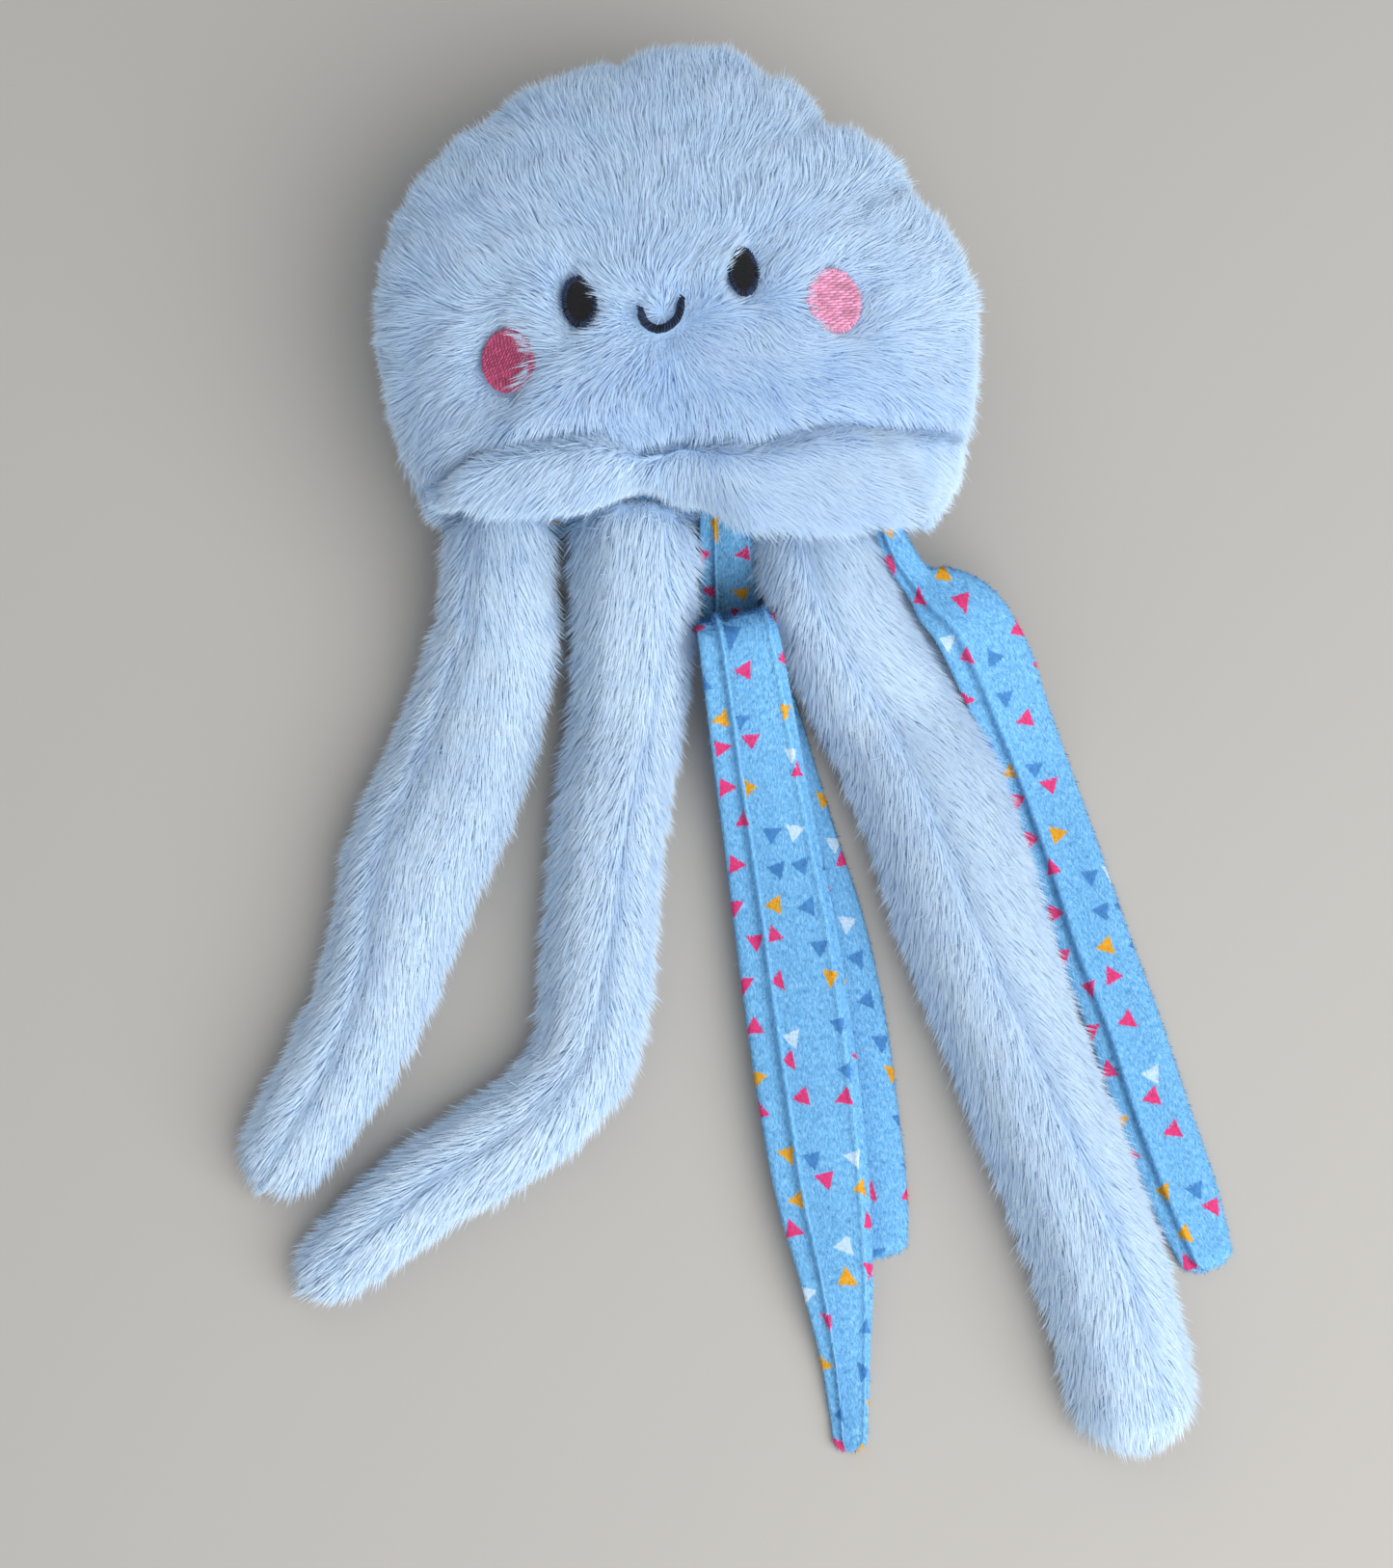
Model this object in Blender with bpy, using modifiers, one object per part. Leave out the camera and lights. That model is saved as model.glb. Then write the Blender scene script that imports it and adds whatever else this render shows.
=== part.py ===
"""Plush jellyfish lying on its back, as an assembly of its sewn pieces.

Metres, +Z up. The face looks up (+Z), the top of the head points to +Y and
the tentacles lie on the floor towards -Y. Sizes below are in millimetres.
"""
import math

import bmesh
import bpy
import numpy as np
from mathutils import Vector
from mathutils.bvhtree import BVHTree

MM = 0.001
GAP = 0.3

# Head: half thicknesses, the seam's height and the fabric
HEAD_TOP = 105.0
SEAM_HEIGHT = 45.0
FABRIC = 2.4
BACK_SINK = 6.0
FRONT_PROFILE = 0.8
BACK_PROFILE = 0.6
HEAD_GRID = (32, 28)
HEAD_GRID_MIDDLE = -0.3
BACK_GRID = (22, 18)
FRONT_EASE = 2.0
BACK_EASE = 0.6
CORNER_EASE = 3.0
CORNER_BLEND = (5.0, 12.0)
CORNER_REACH = (85.0, 115.0)
BAND_EASE = 1.5
BAND_REACH = (-70.0, -85.0)

# Head outline seen from the front: (degrees from +X, radius)
HEAD_OUTLINE = (
    (-2, 127.5), (6, 124.0), (15, 118.0), (24, 111.5), (32, 112.5), (43, 108.0),
    (50, 102.5), (57, 106.0), (63, 109.0), (68, 108.5), (75, 112.5), (84, 115.0),
    (97, 113.0), (103, 110.5), (117, 112.0), (135, 115.0), (153, 122.5),
    (168, 126.0), (181, 127.5), (193, 128.0), (204, 130.0), (214, 133.5),
    (221, 137.0), (228, 134.0), (238, 119.5), (248, 109.0), (258, 95.5),
    (268, 93.0), (276, 97.0), (284, 110.0), (292, 115.5), (302, 126.0),
    (311, 139.5), (316, 142.0), (322, 139.5), (330, 138.0), (340, 132.0),
    (350, 128.5),
)

# Underside: the flat end of the head that carries the tentacles
UNDERSIDE_Y = -91.0
UNDERSIDE_TOP = 62.0
UNDERSIDE_BOTTOM = 15.0
UNDERSIDE_FULL = 42.5
UNDERSIDE_END = 47.5
ROLL_REACH = 3.1

# The crease between face and lower band, as (x, y) points
CREASE_LINE = ((-130, -84), (-112, -82), (-99, -83), (-79, -79), (-57, -74), (-33, -71),
               (-13, -76), (1, -72), (30, -76), (53, -70), (70, -68), (104, -63), (135, -56))
CREASE_DEPTH = 18.0
CREASE_WIDTH = 6.5
FOLD_START = (-42, -93)
FOLD_END = (-14, -88)
FOLD_DEPTH = 6.0
FOLD_WIDTH = 5.0

# Stitched face: name, centre, width, height, tilt in degrees, material
STITCH_THICKNESS = 1.3
DROP_HEIGHT = HEAD_TOP + 295.0
FACE_DENT = 3.0
FACE_PATCHES = (
    ("left_eye", (-40.1, -19.6), 14.0, 21.5, 9.0, "black_thread"),
    ("right_eye", (27.4, -6.9), 12.4, 21.5, 6.0, "black_thread"),
    ("left_cheek", (-69.5, -42.0), 21.5, 26.0, 12.0, "dark_pink_thread"),
    ("right_cheek", (64.9, -17.0), 21.5, 27.5, 6.0, "pale_pink_thread"),
)
SMILE_LINE = ((-15.0, -22.9), (-13.5, -28.6), (-6.8, -31.6), (0.2, -27.0), (2.4, -18.3))
SMILE_WIDTH = 3.4

# Heights at which the tentacles leave the underside, from the seam
FUR_ROOT = SEAM_HEIGHT - 17.0
FRONT_PRINT_ROOT = SEAM_HEIGHT + 2.0
BEHIND_PRINT_ROOT = SEAM_HEIGHT - 26.0
RIGHT_PRINT_ROOT = SEAM_HEIGHT - 5.0

# Fur tentacles: stations of (x, y, height of the underside, width, thickness)
FUR_STATIONS = 22
FUR_TENTACLES = {
    "fur_tentacle_left": (
        (-75, UNDERSIDE_Y, FUR_ROOT, 37, 29), (-76.5, -118, 21, 42, 33), (-78, -139, 10, 47, 36),
        (-87, -173, 0, 51, 37), (-98, -206, 0, 54, 37), (-110.5, -235, 0, 54, 36),
        (-119, -264, 0, 47, 35), (-127.5, -292, 0, 42, 33), (-140, -320, 0, 39, 32),
        (-154, -344, 0, 35, 29), (-169, -367, 0, 29, 24)),
    "fur_tentacle_middle": (
        (-19, UNDERSIDE_Y, FUR_ROOT, 46, 36), (-19, -118, 20, 46, 37), (-19.2, -139, 10, 46, 37),
        (-21.5, -169, 0, 43, 35), (-26.5, -202, 0, 42, 34), (-30.5, -235, 0, 41, 33),
        (-33, -268, 0, 41, 33), (-35, -296, 0, 40, 32), (-40, -321, 0, 37, 31),
        (-55, -341, 0, 35, 30), (-80, -359.5, 0, 34, 28), (-107.5, -377, 0, 31, 27),
        (-131, -396.5, 0, 27, 24), (-149, -411, 0, 22, 20)),
    "fur_tentacle_right": (
        (57.5, UNDERSIDE_Y, FUR_ROOT, 42, 29), (63, -116, 21, 48, 33), (73, -140, 10, 53, 37),
        (90.5, -170, 0, 56, 38), (106, -202, 0, 57, 38), (116, -231.5, 0, 57, 38),
        (124, -260, 0, 56, 38), (133, -288.5, 0, 53, 37), (142.5, -316.5, 0, 51, 36),
        (152.5, -344, 0, 50, 36), (162.5, -371.5, 0, 49, 35), (172, -399, 0, 48, 34),
        (179.5, -426, 0, 47, 32), (185.5, -452, 0, 46, 29), (189, -472, 0, 40, 25)),
}
# Where the pile parts along each fur tentacle: (share of the length, share of half width)
FUR_PARTING = {
    "fur_tentacle_left": ((0.0, -0.55), (0.3, -0.45), (0.55, -0.45), (0.8, -0.1), (1.0, 0.0)),
    "fur_tentacle_middle": ((0.0, 0.5), (0.2, 0.1), (0.4, 0.3), (0.65, 0.0), (1.0, 0.0)),
    "fur_tentacle_right": ((0.0, -0.3), (0.4, -0.15), (0.6, 0.1), (0.8, 0.3), (1.0, 0.35)),
}
PARTING_DEPTH = 4.0

# Print tentacles: stations of (x, y, height of the underside, width, thickness)
PRINT_STATIONS = 26
PRINT_TENTACLES = {
    "print_tentacle_front": (
        (20.5, UNDERSIDE_Y, FRONT_PRINT_ROOT, 23, 8), (21.5, -103, 44, 25, 8), (22.5, -114, 36, 27, 8),
        (23.5, -124, 30, 30, 8), (24.5, -134, 35, 33, 9), (25, -142, 42, 34, 9),
        (26.5, -153, 41, 36, 10), (29.5, -168, 31, 38, 10), (34, -192, 18, 40, 10),
        (39.5, -225, 11, 42, 10), (45.5, -262, 9.5, 45, 10), (51, -302, 9.5, 46, 10),
        (56.5, -343, 9.5, 45, 10), (61, -378, 9.2, 41, 9), (66, -411, 8.6, 32, 9),
        (69.5, -441, 2.5, 23, 8), (71, -464, 0, 18, 7), (71.5, -481, 0, 15, 6)),
    "print_tentacle_behind": (
        (21, UNDERSIDE_Y, BEHIND_PRINT_ROOT, 24, 8), (23, -112, 14, 27, 8), (28, -138, 5, 30, 8),
        (36, -172, 0, 36, 8), (47, -222, 0, 42, 8), (58.5, -264, 0, 45, 8),
        (67, -305, 0, 45, 8), (72.5, -346, 0, 44, 8), (77, -378, 0, 41, 8),
        (79, -403, 0, 36, 8)),
    "print_tentacle_right": (
        (87.5, UNDERSIDE_Y, RIGHT_PRINT_ROOT, 13, 8), (94, -107, 36, 15, 8), (102.5, -118, 31, 17, 8),
        (112.5, -127, 30, 25, 8), (123.5, -137, 30, 31, 9), (134, -153, 22, 35, 9),
        (145, -175, 11, 34, 9), (155, -199, 3, 33, 9), (167.5, -236, 0, 33, 9),
        (178.5, -273, 0, 34, 9), (190, -306, 0, 33, 9), (200.5, -342, 0, 33, 9),
        (212.5, -378, 0, 31, 9), (222.5, -407, 0, 23, 8)),
}
# Pleats: (share of half width, height above the plain section)
PRINT_PLEATS = {
    "print_tentacle_front": ((-0.8, -2.0), (-0.52, -2.2), (-0.42, 2.0), (0.1, -1.4), (0.75, 1.4)),
    "print_tentacle_behind": ((-0.6, 0.5), (0.0, -0.8), (0.6, 0.5)),
    "print_tentacle_right": ((-0.75, -1.6), (-0.58, -2.0), (-0.45, 1.6), (0.2, 0.0), (0.7, 0.4)),
}

# name: colour, roughness, metallic
MATERIALS = {
    "blue_fur": ((0.46, 0.62, 0.78), 0.9, 0.0),
    "print_velour": ((0.22, 0.49, 0.80), 0.85, 0.0),
    "black_thread": ((0.012, 0.014, 0.03), 0.5, 0.0),
    "dark_pink_thread": ((0.40, 0.10, 0.20), 0.55, 0.0),
    "pale_pink_thread": ((0.78, 0.34, 0.50), 0.55, 0.0),
    "polyester_filling": ((0.85, 0.85, 0.83), 0.95, 0.0),
}


def clear_scene():
    """Remove every object that the file opens with."""
    for item in list(bpy.data.objects):
        bpy.data.objects.remove(item, do_unlink=True)


def make_materials():
    """One plain Principled material for each cloth and thread."""
    made = {}
    for name, (colour, roughness, metallic) in MATERIALS.items():
        material = bpy.data.materials.new(name)
        material.use_nodes = True
        shader = material.node_tree.nodes["Principled BSDF"]
        shader.inputs["Base Color"].default_value = (*colour, 1.0)
        shader.inputs["Roughness"].default_value = roughness
        shader.inputs["Metallic"].default_value = metallic
        made[name] = material
    return made


def smooth_step(low, high, value):
    """0 below low, 1 above high, with a soft change between."""
    share = min(1.0, max(0.0, (value - low) / (high - low)))
    return share * share * (3.0 - 2.0 * share)


def table_value(table, value):
    """Straight interpolation in a short table of pairs."""
    return float(np.interp(value, [row[0] for row in table], [row[1] for row in table]))


def through(points, count):
    """Evenly spaced stations on a smooth curve through the given points."""
    rows = np.array(points, dtype=float)
    ends = np.vstack([2 * rows[0] - rows[1], rows, 2 * rows[-1] - rows[-2]])
    dense = []
    for i in range(len(rows) - 1):
        a, b, c, d = ends[i:i + 4]
        for t in np.linspace(0.0, 1.0, 12, endpoint=False):
            dense.append(0.5 * (2 * b + (c - a) * t + (2 * a - 5 * b + 4 * c - d) * t * t
                                + (3 * b - a - 3 * c + d) * t * t * t))
    dense = np.array(dense + [rows[-1]])
    length = np.concatenate([[0.0], np.cumsum(np.linalg.norm(np.diff(dense[:, :3], axis=0), axis=1))])
    wanted = np.linspace(0.0, length[-1], count)
    return np.array([np.interp(wanted, length, dense[:, k]) for k in range(rows.shape[1])]).T


def outline_radius(angle):
    """Radius of the head outline at an angle in degrees."""
    angles = [row[0] for row in HEAD_OUTLINE]
    radii = [row[1] for row in HEAD_OUTLINE]
    turned = (angle - angles[0]) % 360.0 + angles[0]
    return float(np.interp(turned, angles + [angles[0] + 360.0], radii + [radii[0]]))


def seam_radius(angle):
    """Radius of the sewn edge: the outline, cut straight at the underside."""
    down = -math.sin(math.radians(angle))
    radius = outline_radius(angle)
    if down > 0.3:
        radius = min(radius, -UNDERSIDE_Y / down)
    return radius


def from_down(angle):
    """Degrees between an angle and straight down (-Y)."""
    return abs((angle + 90.0 + 180.0) % 360.0 - 180.0)


def underside_share(angle):
    """1 where the underside panel opens the seam, 0 where the panels meet."""
    return 1.0 - smooth_step(UNDERSIDE_FULL, UNDERSIDE_END, from_down(angle))


def crease_drop(x, y, extra=0.0):
    """How far the face is drawn in along the crease and the small fold."""
    distance = y - table_value(CREASE_LINE, x)
    drop = (CREASE_DEPTH + extra) * math.exp(-(distance / (CREASE_WIDTH + extra)) ** 2)
    start, end = Vector(FOLD_START), Vector(FOLD_END)
    along = max(0.0, min(1.0, (Vector((x, y)) - start).dot(end - start) / (end - start).length_squared))
    away = (Vector((x, y)) - start.lerp(end, along)).length
    return drop + FOLD_DEPTH * math.exp(-(away / FOLD_WIDTH) ** 2)


def face_dent(x, y, spread=1.0):
    """How far the stitching draws the face in."""
    dent = 0.0
    for _, centre, width, height, _, _ in FACE_PATCHES:
        away = math.hypot((x - centre[0]) / width, (y - centre[1]) / height) * 2.0
        dent = max(dent, FACE_DENT * (1.0 - smooth_step(0.9 * spread, 1.9 * spread, away)))
    mouth = min(math.hypot(x - px, y - py) for px, py in SMILE_LINE)
    return max(dent, 0.7 * FACE_DENT * (1.0 - smooth_step(3.0 * spread, 11.0 * spread, mouth)))


def rim_table(sheet):
    """The sewn edge of a panel along the underside, as (x, z) pairs."""
    edge = [vertex.co for vertex in sheet.verts if vertex.is_boundary and vertex.co.y < UNDERSIDE_Y + 1.0]
    return sorted((point.x, point.z) for point in edge)


def front_point(share, angle, inner=False):
    """A point of the front panel, from the middle (0) to its sewn edge (1)."""
    turn = share * math.pi / 2.0
    edge = SEAM_HEIGHT + GAP + (UNDERSIDE_TOP - SEAM_HEIGHT) * underside_share(angle)
    seam = seam_radius(angle)
    roll = (outline_radius(angle) - seam) * ROLL_REACH * (0.6 if inner else 1.0)
    wave = math.sin(turn)
    radius = seam * wave + roll * wave ** 3 * (1.0 - wave ** 12)
    x = radius * math.cos(math.radians(angle))
    y = radius * math.sin(math.radians(angle))
    rise = max(0.0, math.cos(turn)) ** FRONT_PROFILE
    z = edge + (HEAD_TOP - edge) * rise
    hold = smooth_step(0.0, 0.45, rise)
    z -= hold * crease_drop(x, y, 7.0 if inner else 0.0)
    z -= 1.4 * face_dent(x, y, 1.5) if inner else face_dent(x, y)
    return Vector((x, y, z))


def back_point(share, angle):
    """A point of the back panel, flat on the floor in the middle."""
    turn = share * math.pi / 2.0
    edge = SEAM_HEIGHT - GAP - (SEAM_HEIGHT - UNDERSIDE_BOTTOM) * underside_share(angle)
    radius = seam_radius(angle) * math.sin(turn) ** 0.9
    rise = max(0.0, math.cos(turn)) ** BACK_PROFILE
    z = max(0.0, edge - (edge + BACK_SINK) * rise)
    return Vector((radius * math.cos(math.radians(angle)), radius * math.sin(math.radians(angle)), z))


def disc_grid(columns, rows, place, middle=0.0):
    """A grid primitive drawn out to a round sheet, each vertex set by place(share, angle)."""
    sheet = bmesh.new()
    bmesh.ops.create_grid(sheet, x_segments=columns, y_segments=rows, size=1.0)
    for vertex in sheet.verts:
        u, v = vertex.co.x, vertex.co.y
        v = middle + v * (1.0 - middle if v > 0.0 else 1.0 + middle)
        across = u * math.sqrt(1.0 - v * v / 2.0)
        up = v * math.sqrt(1.0 - u * u / 2.0)
        share = min(1.0, math.hypot(across, up))
        vertex.co = place(share, math.degrees(math.atan2(up, across)))
    return sheet


def add_object(name, sheet, material, collection, origin=(0.0, 0.0, 0.0)):
    """Store a bmesh given in millimetres as an object placed at its own origin."""
    start = Vector(origin)
    for vertex in sheet.verts:
        vertex.co = (vertex.co - start) * MM
    mesh = bpy.data.meshes.new(name)
    sheet.to_mesh(mesh)
    sheet.free()
    mesh.materials.append(material)
    mesh.shade_smooth()
    piece = bpy.data.objects.new(name, mesh)
    piece.location = start * MM
    collection.objects.link(piece)
    return piece


def face_outwards(sheet, upwards=True):
    """Turn an open sheet's faces to look up or down."""
    bmesh.ops.recalc_face_normals(sheet, faces=sheet.faces)
    sheet.normal_update()
    total = sum(face.normal.z * face.calc_area() for face in sheet.faces)
    if (total > 0.0) != upwards:
        bmesh.ops.reverse_faces(sheet, faces=sheet.faces)


def thicken(piece, thickness, outwards=False):
    """Give a sheet its cloth thickness."""
    wall = piece.modifiers.new("cloth", "SOLIDIFY")
    wall.thickness = thickness * MM
    wall.offset = 1.0 if outwards else -1.0
    wall.use_even_offset = False
    return wall


def make_front_panel(material, collection):
    """Fur panel with the face, the crease and the rolled lower band."""
    sheet = disc_grid(*HEAD_GRID, front_point, HEAD_GRID_MIDDLE)
    face_outwards(sheet)
    surface = BVHTree.FromBMesh(sheet)
    rim = rim_table(sheet)
    piece = add_object("head_front_panel", sheet, material, collection)
    thicken(piece, FABRIC)
    return piece, surface, rim


def make_back_panel(material, collection):
    """Fur panel that the toy lies on."""
    sheet = disc_grid(*BACK_GRID, back_point)
    face_outwards(sheet, upwards=False)
    rim = rim_table(sheet)
    piece = add_object("head_back_panel", sheet, material, collection)
    thicken(piece, FABRIC)
    return piece, rim


def make_underside_panel(front_rim, back_rim, material, collection):
    """Print cloth that closes the head where the tentacles are sewn on."""
    reach = min(min(rim[-1][0], -rim[0][0]) for rim in (front_rim, back_rim)) - 4.0
    sheet = bmesh.new()
    bmesh.ops.create_grid(sheet, x_segments=24, y_segments=2, size=1.0)
    for vertex in sheet.verts:
        x = vertex.co.x * reach
        top = table_value(front_rim, x)
        bottom = table_value(back_rim, x)
        opening = (top - bottom) / (UNDERSIDE_TOP - UNDERSIDE_BOTTOM)
        clear = 1.5 * GAP + 2.2 * (1.0 - smooth_step(0.93, 1.0, opening))
        half = max(0.4, (top - bottom) / 2.0 - clear)
        vertex.co = Vector((x, UNDERSIDE_Y, (top + bottom) / 2.0 + vertex.co.y * half))
    bmesh.ops.recalc_face_normals(sheet, faces=sheet.faces)
    sheet.normal_update()
    if sum(face.normal.y for face in sheet.faces) > 0.0:
        bmesh.ops.reverse_faces(sheet, faces=sheet.faces)
    piece = add_object("underside_panel", sheet, material, collection, (0.0, UNDERSIDE_Y, SEAM_HEIGHT))
    thicken(piece, FABRIC)
    return piece


def corner_ease(point):
    """Extra room for the stuffing at the two ends of the underside."""
    angle = math.degrees(math.atan2(point.y, point.x))
    middle = (UNDERSIDE_FULL + UNDERSIDE_END) / 2.0
    corner = 1.0 - smooth_step(*CORNER_BLEND, abs(from_down(angle) - middle))
    return CORNER_EASE * corner * smooth_step(*CORNER_REACH, math.hypot(point.x, point.y))


def fill_point(vertex, upwards, ease):
    """Where the stuffing's surface lies inside a panel's vertex."""
    flat = Vector((vertex.co.x, vertex.co.y, 0.0))
    band = BAND_EASE * smooth_step(*BAND_REACH, vertex.co.y) if upwards else 0.0
    inset = FABRIC + ease + max(band, corner_ease(vertex.co))
    point = vertex.co - flat.normalized() * inset * min(1.0, flat.length / 20.0)
    if vertex.is_boundary:
        point.y = max(point.y, UNDERSIDE_Y + inset)
        point.z += 1.6 if upwards else -1.2
    else:
        point.z -= inset * max(-1.0, min(1.0, 3.0 * vertex.normal.z))
    return point


def make_filling(material, collection):
    """Stuffing that fills the head just inside the cloth."""
    body = bmesh.new()
    for place, upwards, ease in ((lambda s, a: front_point(s, a, inner=True), True, FRONT_EASE),
                                 (back_point, False, BACK_EASE)):
        sheet = disc_grid(*BACK_GRID, place)
        face_outwards(sheet, upwards)
        moved = {vertex: fill_point(vertex, upwards, ease) for vertex in sheet.verts}
        for vertex, point in moved.items():
            vertex.co = point
        mesh = bpy.data.meshes.new("half")
        sheet.to_mesh(mesh)
        sheet.free()
        body.from_mesh(mesh)
        bpy.data.meshes.remove(mesh)
    rims = [edge for edge in body.edges if edge.is_boundary]
    bmesh.ops.bridge_loops(body, edges=rims)
    bmesh.ops.recalc_face_normals(body, faces=body.faces)
    if body.calc_volume(signed=True) < 0.0:
        bmesh.ops.reverse_faces(body, faces=body.faces)
    return add_object("head_filling", body, material, collection)


def ellipse_point(centre, width, height, tilt, share, angle):
    """A point of a tilted oval in plan."""
    turn = math.radians(tilt)
    u = share * math.cos(math.radians(angle)) * width / 2.0
    v = share * math.sin(math.radians(angle)) * height / 2.0
    return Vector((centre[0] + u * math.cos(turn) - v * math.sin(turn),
                   centre[1] + u * math.sin(turn) + v * math.cos(turn), 0.0))


def lay_on(surface, point, lift):
    """Drop a point on the head's front and lift it clear of the cloth."""
    hit, normal, _, _ = surface.ray_cast(Vector((point.x, point.y, DROP_HEIGHT)), Vector((0.0, 0.0, -1.0)))
    return hit + normal * lift


def make_patch(spec, surface, materials, collection):
    """An oval of satin stitch, domed over the cloth."""
    name, centre, width, height, tilt, slot = spec
    sheet = disc_grid(5, 6, lambda s, a: ellipse_point(centre, width, height, tilt, s, a))
    for vertex in sheet.verts:
        vertex.co = lay_on(surface, vertex.co, 1.5 * GAP)
    face_outwards(sheet)
    origin = lay_on(surface, Vector((*centre, 0.0)), 0.0)
    piece = add_object(name, sheet, materials[slot], collection, origin)
    thicken(piece, STITCH_THICKNESS, outwards=True)
    return piece


def make_smile(surface, material, collection):
    """A narrow curved line of stitch."""
    line = through([(*point, 0.0) for point in SMILE_LINE], 11)
    sheet = bmesh.new()
    rows = []
    for i, (x, y, _) in enumerate(line):
        before, after = line[max(0, i - 1)], line[min(len(line) - 1, i + 1)]
        side = Vector((-(after[1] - before[1]), after[0] - before[0], 0.0)).normalized()
        half = SMILE_WIDTH / 2.0 * (0.55 if i in (0, len(line) - 1) else 1.0)
        rows.append([sheet.verts.new(lay_on(surface, Vector((x, y, 0.0)) + side * half * k, 1.5 * GAP))
                     for k in (-1.0, 1.0)])
    for (a, b), (c, d) in zip(rows, rows[1:]):
        sheet.faces.new((a, b, d, c))
    face_outwards(sheet)
    origin = lay_on(surface, Vector((*SMILE_LINE[2], 0.0)), 0.0)
    piece = add_object("smile", sheet, material, collection, origin)
    thicken(piece, STITCH_THICKNESS, outwards=True)
    return piece


def fur_section(width, thickness, parting):
    """Round stuffed tube, flat underneath, with a dip where the pile parts."""
    left = [-1.0 + k * (parting - 0.16 + 1.0) / 3.0 for k in range(4)]
    right = [parting + 0.16 + k * (1.0 - parting - 0.16) / 3.0 for k in range(4)]
    points = []
    for s in left + [parting] + right:
        top = 0.42 * thickness + 0.58 * thickness * math.sqrt(max(0.0, 1.0 - abs(s) ** 2.6))
        if s == parting:
            top -= PARTING_DEPTH * min(1.0, thickness / 30.0)
        points.append((s * width / 2.0, top))
    for s in (0.86, 0.4, -0.4, -0.86):
        low = 0.42 * thickness * (1.0 - math.sqrt(1.0 - s ** 4))
        points.append((s * width / 2.0, 0.0 if abs(s) < 0.5 else low))
    return points


def print_section(width, thickness, pleats):
    """Flat strip with soft edges and pressed pleats."""
    points = [(-width / 2.0, 0.45 * thickness)]
    for s, lift in pleats:
        top = thickness * (0.45 + 0.45 * math.sqrt(1.0 - abs(s) ** 3))
        points.append((s * width / 2.0, top + lift * thickness / 10.0))
    points.append((width / 2.0, 0.45 * thickness))
    for s in (0.84, 0.3, -0.3, -0.84):
        points.append((s * width / 2.0, 0.0 if abs(s) < 0.5 else 0.06 * thickness))
    return points


def rounded_end(stations):
    """Add one more station in the last stretch, where the tip draws in."""
    extra = 0.4 * stations[-2] + 0.6 * stations[-1]
    return np.vstack([stations[:-1], extra, stations[-1]])


def end_share(i, count):
    """How far the last stations draw in to a rounded tip."""
    return {count - 1: 0.42, count - 2: 0.84, count - 3: 0.98}.get(i, 1.0)


def make_tentacle(name, stations, section_at, material, collection):
    """Loft the changing section along the stations and close both ends."""
    count = len(stations)
    sheet = bmesh.new()
    loops = []
    for i, (x, y, z, width, thickness) in enumerate(stations):
        before, after = stations[max(0, i - 1)], stations[min(count - 1, i + 1)]
        tangent = Vector(after[:3]) - Vector(before[:3])
        side = Vector((-tangent.y, tangent.x, 0.0)).normalized()
        if i == 0:
            side, tangent = Vector((1.0, 0.0, 0.0)), Vector((0.0, -1.0, 0.0))
        up = side.cross(tangent).normalized()
        if up.z < 0.0:
            up.negate()
        if side.dot(Vector((1.0, 0.0, 0.0))) < 0.0:
            side.negate()
        draw = end_share(i, count)
        middle = 0.4 * thickness * (1.0 - draw)
        ring = []
        for across, rise in section_at(i / (count - 1), width, thickness):
            point = Vector((x, y, z)) + side * across * draw + up * (rise * draw + middle)
            if i == 0:
                point.y = UNDERSIDE_Y - GAP
            if i == count - 1:
                point += tangent.normalized() * 1.5
            point.z = max(0.0, point.z)
            ring.append(sheet.verts.new(point))
        loops.append(ring)
    size = len(loops[0])
    for near, far in zip(loops, loops[1:]):
        for k in range(size):
            sheet.faces.new((near[k], near[(k + 1) % size], far[(k + 1) % size], far[k]))
    for ring in (loops[0], loops[-1]):
        sheet.faces.new(ring)
    bmesh.ops.triangulate(sheet, faces=[face for face in sheet.faces if len(face.verts) > 4])
    bmesh.ops.recalc_face_normals(sheet, faces=sheet.faces)
    origin = tuple(stations[0][:3])
    piece = add_object(name, sheet, material, collection, origin)
    piece.data.set_sharp_from_angle(angle=math.radians(65.0))
    return piece


def make_fur_tentacles(material, collection):
    """Three stuffed fur tubes."""
    made = []
    for name, points in FUR_TENTACLES.items():
        parting = FUR_PARTING[name]
        made.append(make_tentacle(
            name, rounded_end(through(points, FUR_STATIONS)),
            lambda t, w, h, parting=parting: fur_section(w, h, table_value(parting, t)),
            material, collection))
    return made


def make_print_tentacles(material, collection):
    """Three flat, folded strips of print velour."""
    made = []
    for name, points in PRINT_TENTACLES.items():
        pleats = PRINT_PLEATS[name]
        made.append(make_tentacle(
            name, rounded_end(through(points, PRINT_STATIONS)),
            lambda t, w, h, pleats=pleats: print_section(w, h, pleats),
            material, collection))
    return made


def gather(pieces, collection):
    """Parent every piece to one empty and stand its box on the origin."""
    root = bpy.data.objects.new("plush_jellyfish", None)
    collection.objects.link(root)
    for piece in pieces:
        piece.parent = root
    bpy.context.view_layer.update()
    graph = bpy.context.evaluated_depsgraph_get()
    corners = []
    for piece in pieces:
        solid = piece.evaluated_get(graph)
        corners += [solid.matrix_world @ Vector(corner) for corner in solid.bound_box]
    for axis in (0, 1):
        low = min(corner[axis] for corner in corners)
        high = max(corner[axis] for corner in corners)
        root.location[axis] = -(low + high) / 2.0
    bpy.context.view_layer.update()
    return root


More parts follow.
